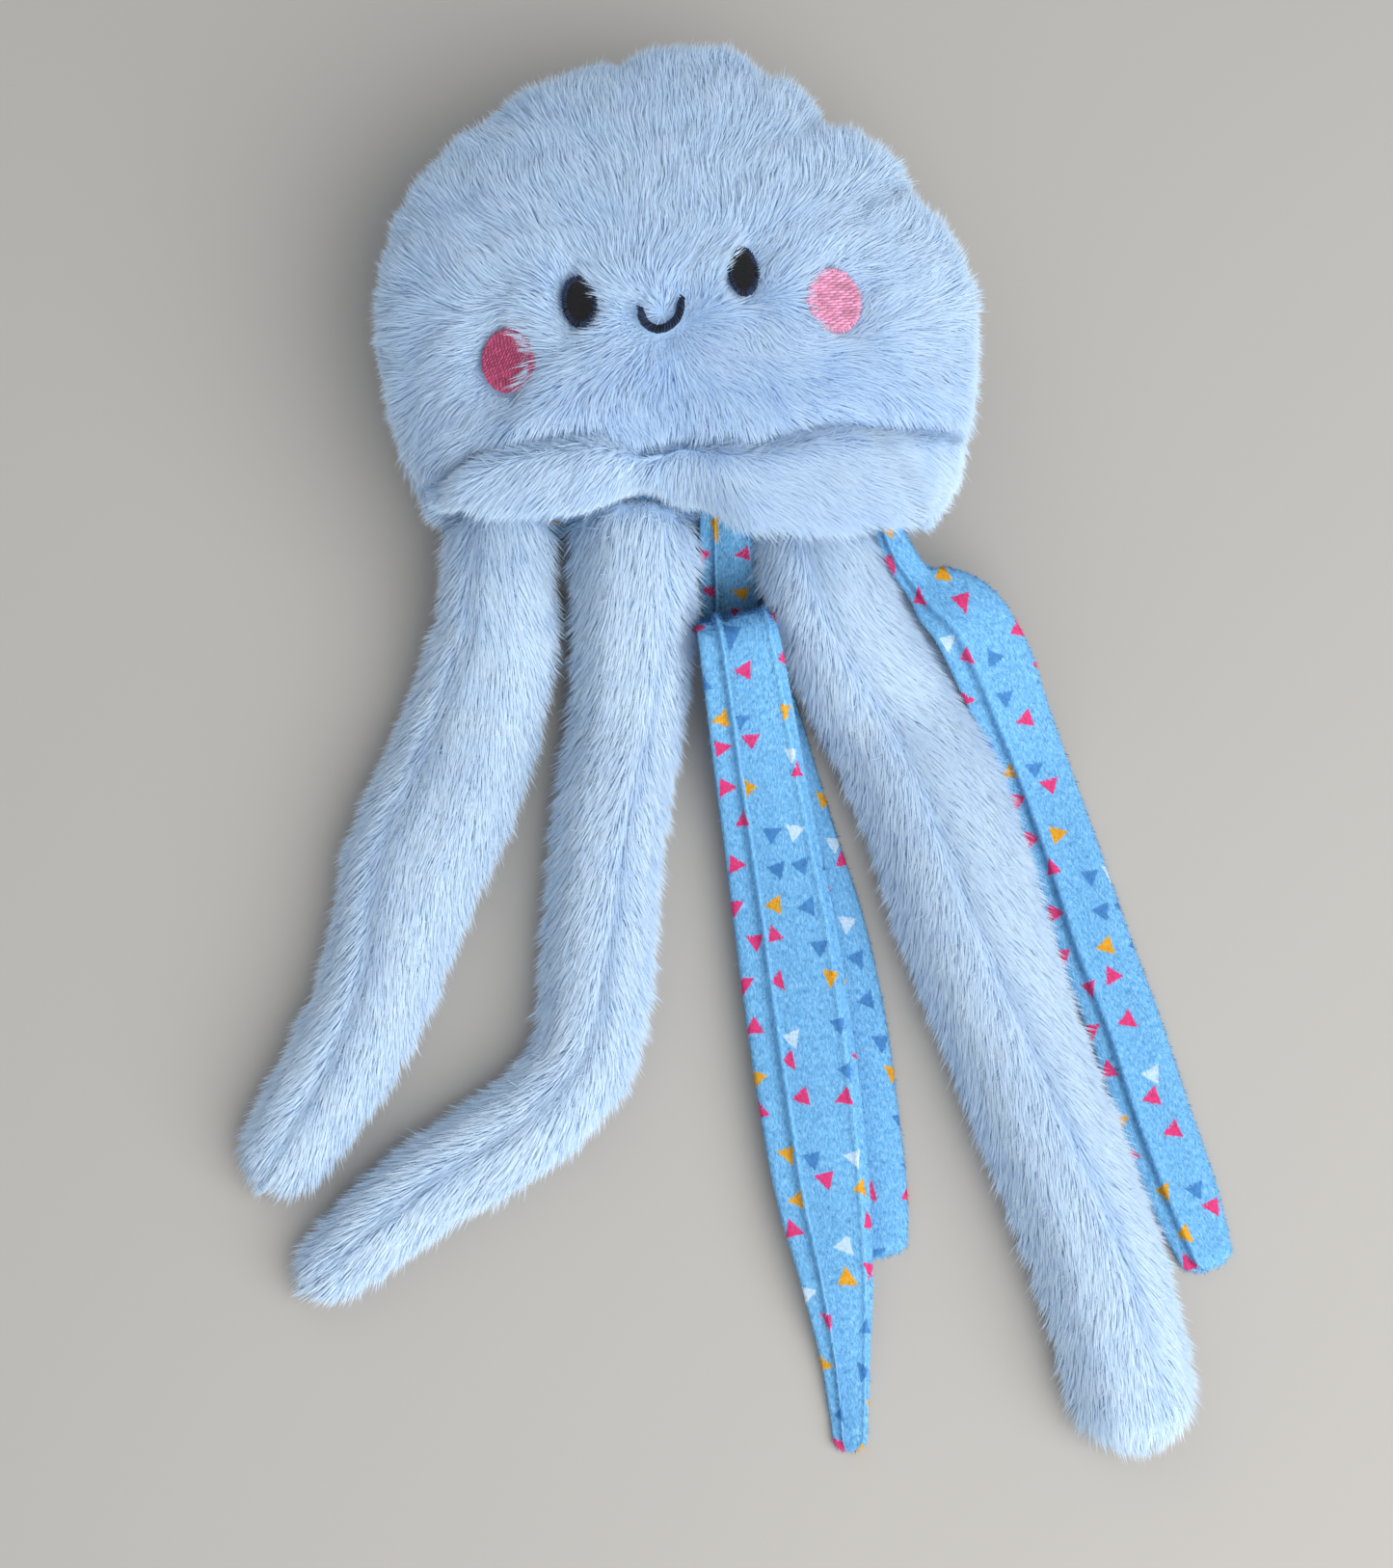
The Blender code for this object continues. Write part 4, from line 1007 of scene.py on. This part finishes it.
class PlushColours(bpy.types.PropertyGroup):
    """Colours of the toy and the floor."""
    # Pile ramps run from root to tip; the darker roots are painted shade deep in the pile.
    deep_root: colour_property("Deep root", "Root of the darkest pile", (0.24, 0.48, 0.85))
    deep_middle: colour_property("Deep middle", "Middle of the darkest pile", (0.32, 0.56, 0.90))
    deep_tip: colour_property("Deep tip", "Tip of the darkest pile", (0.43, 0.66, 0.95))
    pale_root: colour_property("Pale root", "Root of the palest pile", (0.54, 0.74, 0.97))
    pale_middle: colour_property("Pale middle", "Middle of the palest pile", (0.66, 0.83, 0.99))
    pale_tip: colour_property("Pale tip", "Tip of the palest pile", (0.80, 0.915, 1.0))
    print_ground: colour_property("Print ground", "Blue ground of the print", (0.20, 0.535, 0.87))
    print_ground_deep: colour_property("Print ground, deep", "Ground between the nap", (0.10, 0.39, 0.76))
    print_ground_pale: colour_property("Print ground, pale", "Ground on the nap's tips", (0.40, 0.69, 0.93))
    print_pink: colour_property("Print pink", "Pink triangles", (0.80, 0.06, 0.24))
    print_yellow: colour_property("Print yellow", "Yellow triangles", (0.84, 0.43, 0.03))
    print_blue: colour_property("Print mid-blue", "Darker blue triangles", (0.08, 0.28, 0.62))
    print_white: colour_property("Print white", "White triangles", (0.62, 0.80, 0.96))
    eye_thread: colour_property("Eye thread", "Black thread of the eyes", (0.0025, 0.003, 0.006))
    line_thread: colour_property("Line thread", "Blue-black thread of the mouth", (0.017, 0.034, 0.088))
    left_cheek_thread: colour_property("Left cheek thread", "Darker pink thread", (0.55, 0.10, 0.22))
    right_cheek_thread: colour_property("Right cheek thread", "Paler pink thread", (0.90, 0.40, 0.60))
    floor: colour_property("Floor", "Floor under the toy", (0.49, 0.47, 0.44))


# Operators

class PLUSH_OT_head_cloth(bpy.types.Operator):
    """Make the cloth of the head's front and back, with its crease and gathered edge"""
    bl_idname = "plush.head_cloth"
    bl_label = "Head cloth"

    def execute(self, context):
        colours = context.scene.plush_colours
        backing = shared("pile_backing", lambda: cloth_material(colours))
        for name, grid, place, middle, inset, upwards in (
                ("head_front", (92, 84), front_point, -0.3, 2.8, True),
                ("head_back", (56, 48), back_point, 0.0, 2.0, False)):
            sheet = disc_grid(*grid, place, middle)
            inset_sheet(sheet, inset, upwards)
            # Painted shade along the crease, kept on the front's vertices for the backing's colour.
            depth = sheet.verts.layers.float.new("crease_shade")
            for vertex in sheet.verts:
                away = vertex.co.y - table_value(CREASE_LINE, vertex.co.x)
                vertex[depth] = 0.9 * math.exp(-(away / 4.0) ** 2) if upwards else 0.0
            piece = store(name + "_cloth", to_mesh(name + "_cloth", sheet), backing,
                          (name + "_panel",))
            thicken(piece, 1.2)
        return {"FINISHED"}


class PLUSH_OT_head_fur(bpy.types.Operator):
    """Plant the pile of the face, the rolled band and the back of the head"""
    bl_idname = "plush.head_fur"
    bl_label = "Head fur"

    def execute(self, context):
        sizes, colours = context.scene.plush_sizes, context.scene.plush_colours
        fur = shared("blue_pile", lambda: fur_material(colours))
        length = sizes.pile_length / MM
        surfaces = {}
        for name in ("head_front_cloth", "head_back_cloth"):
            surface = surface_of(bpy.data.objects[name].data)
            surface["points"] = surface["points"] / MM - HEAD_PLACE
            surfaces[name] = surface
        front, back = surfaces["head_front_cloth"], surfaces["head_back_cloth"]

        rng = np.random.default_rng(11)
        planted = scatter(front, int(sizes.face_blades * 1.03), rng, lambda middles, _: (
            np.where(below_crease(middles), 0.0, 1.0)), off_stitching)
        roots, facing = planted["points"][:sizes.face_blades], planted["normals"][:sizes.face_blades]
        comb = head_comb(roots, facing)
        reach, fall = face_reach(roots, comb, length)
        level = smooth_step(0.1, 0.75, facing[:, 2])
        mottled = smooth_step(-34.0, -48.0, roots[:, 1]) * smooth_step(-50.0, -25.0, roots[:, 0]) * level
        reach = reach * (0.85 + 0.15 * level - 0.2 * (1.0 - level) * smooth_step(30.0, 75.0, roots[:, 1]))
        lean = np.radians(66.0 - 2.0 * level - 5.0 * mottled + 3.0 * drift(roots, 28.0, 7)) * (
            0.8 + 0.2 * reach / length) * (1.0 - 0.4 * fall)
        # Painted shade: a little over the whole face, deep along the crease, and in soft patches below the
        # face.
        shadow = 0.04 + 0.62 * np.exp(-(above_crease(roots) / 3.2) ** 2) + mottled * (
            0.12 + 0.10 * drift(roots, 9.0, 8))
        mesh = grow_pile("face_fur", roots, facing, comb, lean, reach, sizes, 21, shadow=shadow)
        store("face_fur", mesh, fur)

        rng = np.random.default_rng(12)
        planted = scatter(front, sizes.band_blades, rng, lambda middles, _: (
            np.where(below_crease(middles), 1.0, 0.0)))
        roots, facing = planted["points"], planted["normals"]
        below, notch = -above_crease(roots), under_notch(roots)
        lean = np.radians(61.0 + 6.0 * smooth_step(0.0, 4.0, notch))
        reach = length * (0.6 + 0.42 * smooth_step(0.0, 12.0, below) + 0.25 * smooth_step(4.0, 14.0, notch))
        reach = np.minimum(reach, 4.6 + 1.0 * below)
        reach = np.minimum(reach, np.where(notch < 0.0, 3.0 - 1.3 * notch, length * 1.3))
        # Painted shade along the crease and the edge of the notch, and painted light inside the notch.
        shadow = (0.62 * np.exp(-(below / 2.8) ** 2) + 0.55 * np.exp(-((notch - 0.8) / 2.0) ** 2)
                  - 0.1 * smooth_step(4.0, 9.0, notch))
        edge = 0.16 + 0.30 * smooth_step(0.75, 0.2, facing[:, 2])
        mesh = grow_pile("band_fur", roots, facing, band_comb(roots), lean, reach, sizes, 22, edge,
                         shadow=shadow)
        store("band_fur", mesh, fur)

        rng = np.random.default_rng(13)
        planted = scatter(back, sizes.back_blades, rng, lambda middles, _: (
            np.where(middles[:, 2] > 3.0, 1.0, 0.08)))
        roots, facing = planted["points"], planted["normals"]
        lean = np.radians(56.0 + 28.0 * (1.0 - smooth_step(0.0, 16.0, roots[:, 2])))
        comb = head_comb(roots, facing)
        comb[:, 2] = -0.7 * smooth_step(6.0, 30.0, roots[:, 2])
        mesh = grow_pile("back_fur", roots, facing, comb, lean, np.full(len(roots), length * 0.95), sizes, 23)
        store("back_fur", mesh, fur)
        return {"FINISHED"}


class PLUSH_OT_fur_tentacles(bpy.types.Operator):
    """Make the three stuffed fur tentacles"""
    bl_idname = "plush.fur_tentacles"
    bl_label = "Fur tentacles"

    def execute(self, context):
        sizes, colours = context.scene.plush_sizes, context.scene.plush_colours
        fur = shared("blue_pile", lambda: fur_material(colours))
        backing = shared("pile_backing", lambda: cloth_material(colours))
        for number, (name, points) in enumerate(FUR_TENTACLES.items()):
            sweep, blades = FUR_SWEEP[name]
            parting = FUR_PARTING[name]

            def comb(share, across, width, tangent, parting=parting, sweep=math.radians(sweep)):
                """Lie of the pile, turned away from the parting, and the distance from it."""
                away = across - table_value(parting, share) * width / 2.0
                turn = sweep * math.tanh(away / 3.0) * math.exp(-abs(away) / 13.0) + 0.14 * across / width
                turn *= float(smooth_step(0.0, 0.12, 1.0 - share))
                side = unit(np.array((-tangent[1], tangent[0], 0.0)))
                side = side if side[0] > 0.0 else -side
                return tangent * math.cos(turn) + side * math.sin(turn), away

            def section(share, width, thickness, parting=parting):
                """Tube section with its dip at the parting."""
                return fur_section(width, thickness, float(table_value(parting, share)))

            sheet = lay_tube(points, section, 3.0, 84, 48, 9.0, comb)
            cloth = to_mesh(name + "_cloth", sheet)
            surface = surface_of(cloth, ("comb", "parting"))
            piece = store(name + "_cloth", cloth, backing, (name,))
            rng = np.random.default_rng(31 + number)
            planted = scatter(surface, blades, rng, lambda middles, facing: (
                (0.12 + 0.88 * smooth_step(-0.75, -0.1, facing[:, 2]))
                * (0.7 + 0.3 * smooth_step(-96.0, -125.0, middles[:, 1]))))
            roots, facing = planted["points"], planted["normals"]
            away, share = planted["parting"][:, 0], planted["parting"][:, 1]
            top = smooth_step(0.1, 0.7, facing[:, 2])
            groove = np.exp(-(away / 2.2) ** 2) * top
            lean = np.radians(44.0 + 18.0 * top + 30.0 * smooth_step(0.0, -0.7, facing[:, 2]))
            reach = sizes.tentacle_pile / MM * (
                1.0 - 0.12 * groove + 0.25 * (1.0 - smooth_step(0.0, 0.08, share)))
            # Painted shade along the parting's groove and painted light over the tentacle's top.
            mesh = grow_pile(name + "_fur", roots, facing, planted["comb"], lean, reach, sizes, 41 + number,
                             shadow=0.2 * groove - 0.2 * top, stray=1.0 - 0.6 * top)
            store(name + "_fur", mesh, fur)
        return {"FINISHED"}


class PLUSH_OT_print_tentacles(bpy.types.Operator):
    """Make the three flat tentacles of printed velour with their nap"""
    bl_idname = "plush.print_tentacles"
    bl_label = "Print tentacles"

    def execute(self, context):
        sizes, colours = context.scene.plush_sizes, context.scene.plush_colours
        velour = shared("print_velour_cloth", lambda: velour_material(colours, "print_velour_cloth"))
        for number, (name, points) in enumerate(PRINT_TENTACLES.items()):
            pleats = PRINT_PLEATS[name]

            def section(_, width, thickness, pleats=pleats):
                """Strip section with its pleats."""
                return print_section(width, thickness, pleats)

            sheet = lay_tube(points, section, 0.8, 120, 56, 4.0, pleat_light_and_shade=PLEAT_LIGHT_AND_SHADE[name])
            cloth = to_mesh(name + "_cloth", sheet)
            mesh = self.with_nap(name + "_velour", cloth, sizes, 51 + number)
            piece = store(name + "_velour", mesh, velour, (name,))
        return {"FINISHED"}

    def with_nap(self, name, cloth, sizes, seed):
        """The cloth and its short pile as one mesh, on one map."""
        surface = surface_of(cloth, ("comb",))
        rng = np.random.default_rng(seed)
        corners = np.empty(len(cloth.loop_triangles) * 3, dtype=np.int32)
        cloth.loop_triangles.foreach_get("loops", corners)
        flat = np.empty(len(cloth.loops) * 2)
        cloth.uv_layers["OFBake"].data.foreach_get("uv", flat)
        flat = flat.reshape(-1, 2)[corners].reshape(-1, 3, 2)
        place = np.empty(len(cloth.loops) * 3)
        cloth.attributes["cloth_place_and_shade"].data.foreach_get("vector", place)
        place = place.reshape(-1, 3)[corners].reshape(-1, 3, 3)

        points, triangles, count = surface["points"], surface["triangles"], sizes.nap_blades
        chosen, weights = choose(surface, count, rng, lambda _, facing: (
            0.15 + 0.85 * smooth_step(-0.6, 0.1, facing[:, 2])))
        roots, facing, comb = ((surface[key][triangles[chosen]] * weights).sum(axis=1)
                               for key in ("points", "normals", "comb"))
        facing, comb = unit(facing), unit(comb)
        root_flat, root_place = ((rows[chosen] * weights).sum(axis=1) for rows in (flat, place))
        along = unit(comb - facing * (comb * facing).sum(axis=1)[:, None]
                     + rng.normal(0.0, 0.35, (count, 3)))
        lean = np.radians(rng.uniform(35.0, 68.0, count))[:, None]
        length = (sizes.nap_length / MM * rng.uniform(0.6, 1.3, count))[:, None]
        tip = roots + (facing * np.cos(lean) + along * np.sin(lean)) * length
        tip[:, 2] = np.maximum(tip[:, 2], 0.3)
        across = unit(np.cross(tip - roots, facing)) * 0.24
        blades = np.stack([roots - across, roots + across, tip], axis=1).reshape(-1, 3)
        first = len(points)
        blade_faces = np.arange(first, first + 3 * count).reshape(-1, 3)
        spread = np.array(((-0.002, 0.0), (0.002, 0.0), (0.0, 0.002)))
        mesh = bpy.data.meshes.new(name)
        mesh.from_pydata(np.vstack([points, blades]), [], np.vstack([triangles, blade_faces]))
        layer = mesh.uv_layers.new(name="OFBake")
        layer.data.foreach_set("uv", np.clip(np.concatenate([
            flat, root_flat[:, None, :] + spread]), 0.002, 0.998).ravel())
        layer = mesh.attributes.new("cloth_place_and_shade", "FLOAT_VECTOR", "CORNER")
        blade_place = np.repeat(root_place[:, None, :], 3, axis=1)
        # Each tuft of nap gets a random tone, with painted shade at its root and painted light at its tip.
        tone = rng.normal(0.0, 0.10, count)
        blade_place[:, :2, 2] += (tone - 0.10)[:, None]
        blade_place[:, 2, 2] += tone + 0.16
        layer.data.foreach_set("vector", np.concatenate([place, blade_place]).ravel())
        mesh.shade_smooth()
        mesh.normals_split_custom_set_from_vertices(
            np.vstack([surface["normals"], np.repeat(facing, 3, axis=0)]))
        return mesh


class PLUSH_OT_face_stitching(bpy.types.Operator):
    """Lay the threads of the eyes, the cheeks and the mouth"""
    bl_idname = "plush.face_stitching"
    bl_label = "Face stitching"

    def execute(self, context):
        sizes, colours = context.scene.plush_sizes, context.scene.plush_colours
        thin = sizes.thread_radius / MM
        ring = thread_material("eye_ring_satin", colours.eye_thread, colours.line_thread)
        # Thread, and for the cheeks the stitches' direction in degrees, row pitch and length
        plans = {
            "left_eye": (thin * 0.9, colours.eye_thread, "black_thread", ()),
            "right_eye": (thin * 0.9, colours.eye_thread, "black_thread", ()),
            "left_cheek": (thin * 0.95, colours.left_cheek_thread, "dark_pink_thread", (60.0, 1.0, 2.1)),
            "right_cheek": (thin * 1.2, colours.right_cheek_thread, "pale_pink_thread", (6.0, 1.2, 3.4)),
        }
        for number, patch in enumerate(FACE_PATCHES):
            name = patch[0]
            radius, colour, slot, lay = plans[name]
            material = thread_material(name + "_satin", [0.72 * c for c in colour[:3]], colour)
            tree = self.dress(name, material)
            rng = np.random.default_rng(61 + number)
            threads = self.brick_threads(patch, lay, tree, rng) if lay else self.eye_threads(patch, tree)
            self.sew(name + "_threads", threads, radius, material, slot)
            if not lay:
                threads = self.ring_threads(patch, tree, rng)
                self.sew(name + "_ring_threads", threads, radius, ring, slot)
        material = thread_material("smile_satin", colours.eye_thread, colours.line_thread)
        threads = self.line_threads(self.dress("smile", material), np.random.default_rng(66))
        self.sew("smile_threads", threads, thin * 0.84, material, "black_thread")
        return {"FINISHED"}

    def dress(self, name, material):
        """Give a node of the frame its material, and return a tree of its faces to lay threads on."""
        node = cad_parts[name]
        for slot in node.material_slots:
            slot.material = material
        return BVHTree.FromPolygons([vertex.co.copy() for vertex in node.data.vertices],
                                    [tuple(face.vertices) for face in node.data.polygons])

    def laid(self, tree, spots, lift):
        """The spots dropped on a node, in millimetres, or None where they miss it."""
        line = []
        for (x, y), rise in zip(spots, lift):
            start = Vector(to_world((x, y, 300.0)))
            hit, _, _, _ = tree.ray_cast(start, Vector((0.0, 0.0, -1.0)))
            line.append(None if hit is None else np.array(hit) / MM - HEAD_PLACE + (0.0, 0.0, rise))
        known = [point for point in line if point is not None]
        if not known:
            return None
        for i, point in enumerate(line):
            if point is None:
                x, y = spots[i]
                near = min(known, key=lambda other: math.hypot(other[0] - x, other[1] - y))
                line[i] = np.array((x, y, near[2] - 0.5))
        return line

    def oval_spot(self, patch, across, up):
        """A spot in a tilted oval, from shares of its half width and half height."""
        _, centre, width, height, tilt = patch
        turn = math.radians(tilt)
        u, v = across * width / 2.0, up * height / 2.0
        return (centre[0] + u * math.cos(turn) - v * math.sin(turn),
                centre[1] + u * math.sin(turn) + v * math.cos(turn))

    def eye_threads(self, patch, tree):
        """Long stitches across the oval."""
        threads = []
        rows = int(patch[3] / 0.8)
        for row in range(rows):
            up = (row + 0.5) / rows * 1.8 - 0.9
            half = 0.94 * math.sqrt(1.0 - up * up)
            spots = [self.oval_spot(patch, half * k, up + 0.03 * k) for k in np.linspace(-1.0, 1.0, 7)]
            threads.append(self.laid(tree, spots, [0.0, 0.3, 0.4, 0.45, 0.4, 0.3, 0.0]))
        return threads

    def ring_threads(self, patch, tree, rng):
        """Short stitches round the edge of an eye."""
        threads = []
        around = int(math.pi * (patch[2] + patch[3]) / 2.0 / 0.95)
        for k in range(around):
            turn = 2.0 * math.pi * (k + rng.uniform(-0.2, 0.2)) / around
            outer = 1.0 + rng.uniform(0.02, 0.09)
            spots = [self.oval_spot(patch, math.cos(turn + slip) * reach, math.sin(turn + slip) * reach)
                     for reach, slip in ((outer, 0.0), (0.95, 0.01), (0.86, 0.03), (0.74, 0.05))]
            threads.append(self.laid(tree, spots, [-0.5, 0.25, 0.55, 0.3]))
        return threads

    def brick_threads(self, patch, lay, tree, rng):
        """Short staggered stitches in rows over the oval."""
        heading, pitch, reach = lay
        turn = math.radians(heading)
        _, centre, width, height, _ = patch
        ahead = np.array((math.cos(turn), math.sin(turn)))
        aside = np.array((-math.sin(turn), math.cos(turn)))
        threads = []
        span = max(width, height) / 2.0
        for row in range(int(-span / pitch) - 1, int(span / pitch) + 2):
            shift = (row % 2) * reach / 2.0 + rng.uniform(-0.12, 0.12) * reach
            for k in range(int(-span / reach) - 2, int(span / reach) + 3):
                near = k * reach + shift
                offset = row * pitch + 0.35 * math.sin(near / 4.0 + row * 0.3) + rng.uniform(-0.1, 0.1)
                spots = []
                for t in (0.0, 0.25, 0.5, 0.75, 1.0):
                    spot = np.array(centre) + ahead * (near + (t - 0.04) * reach * 1.06) + aside * (
                        offset + (t - 0.5) * 0.25)
                    spots.append(tuple(spot))
                if oval_distance(patch, np.array(spots[2])) > -0.1:
                    continue
                threads.append(self.laid(tree, spots, [-0.35, 0.25, 0.42, 0.25, -0.35]))
        around = int(math.pi * (width + height) / 2.0 / 1.25)
        for k in range(around):
            turn = 2.0 * math.pi * (k + rng.uniform(-0.2, 0.2)) / around
            outer = 1.0 + rng.uniform(0.03, 0.08)
            spots = [self.oval_spot(patch, math.cos(turn) * far, math.sin(turn) * far)
                     for far in (outer, 0.99, 0.94, 0.88)]
            threads.append(self.laid(tree, spots, [-0.6, 0.1, 0.3, 0.0]))
        return threads

    def line_threads(self, tree, rng):
        """Short slanted stitches across the line of the mouth."""
        track = path([(*point, 0.0) for point in SMILE_LINE])
        shares = np.linspace(0.0, 1.0, SMILE_STITCHES)
        rows = walk(track, shares)[:, :2]
        threads = []
        for i in range(SMILE_STITCHES):
            ahead = unit(rows[min(SMILE_STITCHES - 1, i + 1)] - rows[max(0, i - 1)])
            aside = np.array((-ahead[1], ahead[0]))
            half = SMILE_WIDTH / 2.0 * (0.75 + 0.35 * math.sin(math.pi * shares[i])) * rng.uniform(0.92, 1.1)
            if i in SMILE_GAPS:
                continue
            slant = 0.6 * half
            spots = [tuple(rows[i] + aside * half * k + ahead * slant * k)
                     for k in (-1.0, -0.5, 0.0, 0.5, 1.0)]
            threads.append(self.laid(tree, spots, [-0.5, 0.45, 0.7, 0.45, -0.5]))
        return threads

    def sew(self, name, threads, radius, material, slot):
        """All threads of one patch as round tubes in one mesh."""
        curve = bpy.data.curves.new(name, "CURVE")
        curve.dimensions = "3D"
        curve.bevel_depth = radius
        curve.bevel_resolution = 1
        curve.use_fill_caps = True
        for line in threads:
            if line is None:
                continue
            spline = curve.splines.new("POLY")
            spline.points.add(len(line) - 1)
            for point, place in zip(spline.points, line):
                point.co = (*place, 1.0)
            for point in (spline.points[0], spline.points[-1]):
                point.radius = 0.7
        holder = bpy.data.objects.new(name, curve)
        bpy.context.scene.collection.objects.link(holder)
        graph = bpy.context.evaluated_depsgraph_get()
        mesh = bpy.data.meshes.new_from_object(holder.evaluated_get(graph))
        bpy.data.objects.remove(holder, do_unlink=True)
        bpy.data.curves.remove(curve)
        mesh.materials.clear()
        mesh.name = name
        store(name, mesh, material)


class PLUSH_OT_hidden_cloth(bpy.types.Operator):
    """Finish the underside and the stuffing, which stay as the frame has them"""
    bl_idname = "plush.hidden_cloth"
    bl_label = "Underside and stuffing"

    def execute(self, context):
        colours = context.scene.plush_colours
        for name, material in (
                ("underside_panel", velour_material(colours, "underside_velour", own_place=False)),
                ("head_filling", filling_material())):
            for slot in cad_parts[name].material_slots:
                slot.material = material
        return {"FINISHED"}


class PLUSH_OT_stage(bpy.types.Operator):
    """Set the pale floor, the soft light and the camera above the toy"""
    bl_idname = "plush.stage"
    bl_label = "Stage"

    def execute(self, context):
        scene = context.scene
        colours = scene.plush_colours
        sheet = bmesh.new()
        bmesh.ops.create_grid(sheet, x_segments=4, y_segments=4, size=6.0)
        mesh = to_mesh("floor", sheet)
        mesh.materials.append(floor_material(colours))
        floor = bpy.data.objects.new("floor", mesh)
        scene.collection.objects.link(floor)

        world = bpy.data.worlds.new("pale_room")
        scene.world = world
        world.use_nodes = True
        tree = world.node_tree
        back = tree.nodes["Background"]
        seen = put(tree, "ShaderNodeLightPath")
        either = math_node(tree, "MAXIMUM", seen.outputs["Is Camera Ray"], seen.outputs["Is Glossy Ray"])
        tree.links.new(mix(tree, either, ROOM_LIGHT, BACKDROP), back.inputs["Color"])
        back.inputs["Strength"].default_value = 1.0

        for name, place, size, power, colour in LAMPS:
            lamp = bpy.data.lights.new(name, "AREA")
            lamp.shape = "DISK"
            lamp.size = size
            lamp.energy = power
            lamp.color = colour
            holder = bpy.data.objects.new(name, lamp)
            holder.location = place
            holder.rotation_euler = (Vector(LAMP_AIM) - Vector(place)).to_track_quat("-Z", "Y").to_euler()
            scene.collection.objects.link(holder)

        aim = Vector(CAMERA_AIM)
        tilt = math.radians(CAMERA_TILT)
        camera = bpy.data.cameras.new("photo_camera")
        camera.lens = CAMERA_LENS
        camera.sensor_width = 36.0
        holder = bpy.data.objects.new("photo_camera", camera)
        holder.location = aim + Vector((0.0, -math.cos(tilt), math.sin(tilt))) * CAMERA_DISTANCE
        holder.rotation_euler = (aim - holder.location).to_track_quat("-Z", "Y").to_euler()
        scene.collection.objects.link(holder)
        scene.camera = holder
        scene.view_settings.view_transform = "Standard"
        return {"FINISHED"}


class PLUSH_PT_panel(bpy.types.Panel):
    """Plush jellyfish"""
    bl_idname = "PLUSH_PT_panel"
    bl_label = "Plush jellyfish"
    bl_space_type = "VIEW_3D"
    bl_region_type = "UI"
    bl_category = "Plush"

    def draw(self, context):
        layout = self.layout
        for group in (context.scene.plush_sizes, context.scene.plush_colours):
            column = layout.column()
            for name in group.__annotations__:
                column.prop(group, name)
        for operator in OPERATORS:
            layout.operator(operator.bl_idname)


OPERATORS = (PLUSH_OT_head_cloth, PLUSH_OT_head_fur, PLUSH_OT_fur_tentacles, PLUSH_OT_print_tentacles,
             PLUSH_OT_face_stitching, PLUSH_OT_hidden_cloth, PLUSH_OT_stage)
CLASSES = (PlushSizes, PlushColours, *OPERATORS, PLUSH_PT_panel)


def register():
    """Register the classes and the scene's properties."""
    for item in CLASSES:
        bpy.utils.register_class(item)
    bpy.types.Scene.plush_sizes = PointerProperty(type=PlushSizes)
    bpy.types.Scene.plush_colours = PointerProperty(type=PlushColours)


def unregister():
    """Take the classes and properties away again."""
    del bpy.types.Scene.plush_colours
    del bpy.types.Scene.plush_sizes
    for item in reversed(CLASSES):
        bpy.utils.unregister_class(item)


def main():
    """Build the toy."""
    register()
    bpy.ops.plush.head_cloth()
    bpy.ops.plush.head_fur()
    bpy.ops.plush.fur_tentacles()
    bpy.ops.plush.print_tentacles()
    bpy.ops.plush.face_stitching()
    bpy.ops.plush.hidden_cloth()
    bpy.ops.plush.stage()
    bpy.context.view_layer.update()


if __name__ == "__main__":
    main()
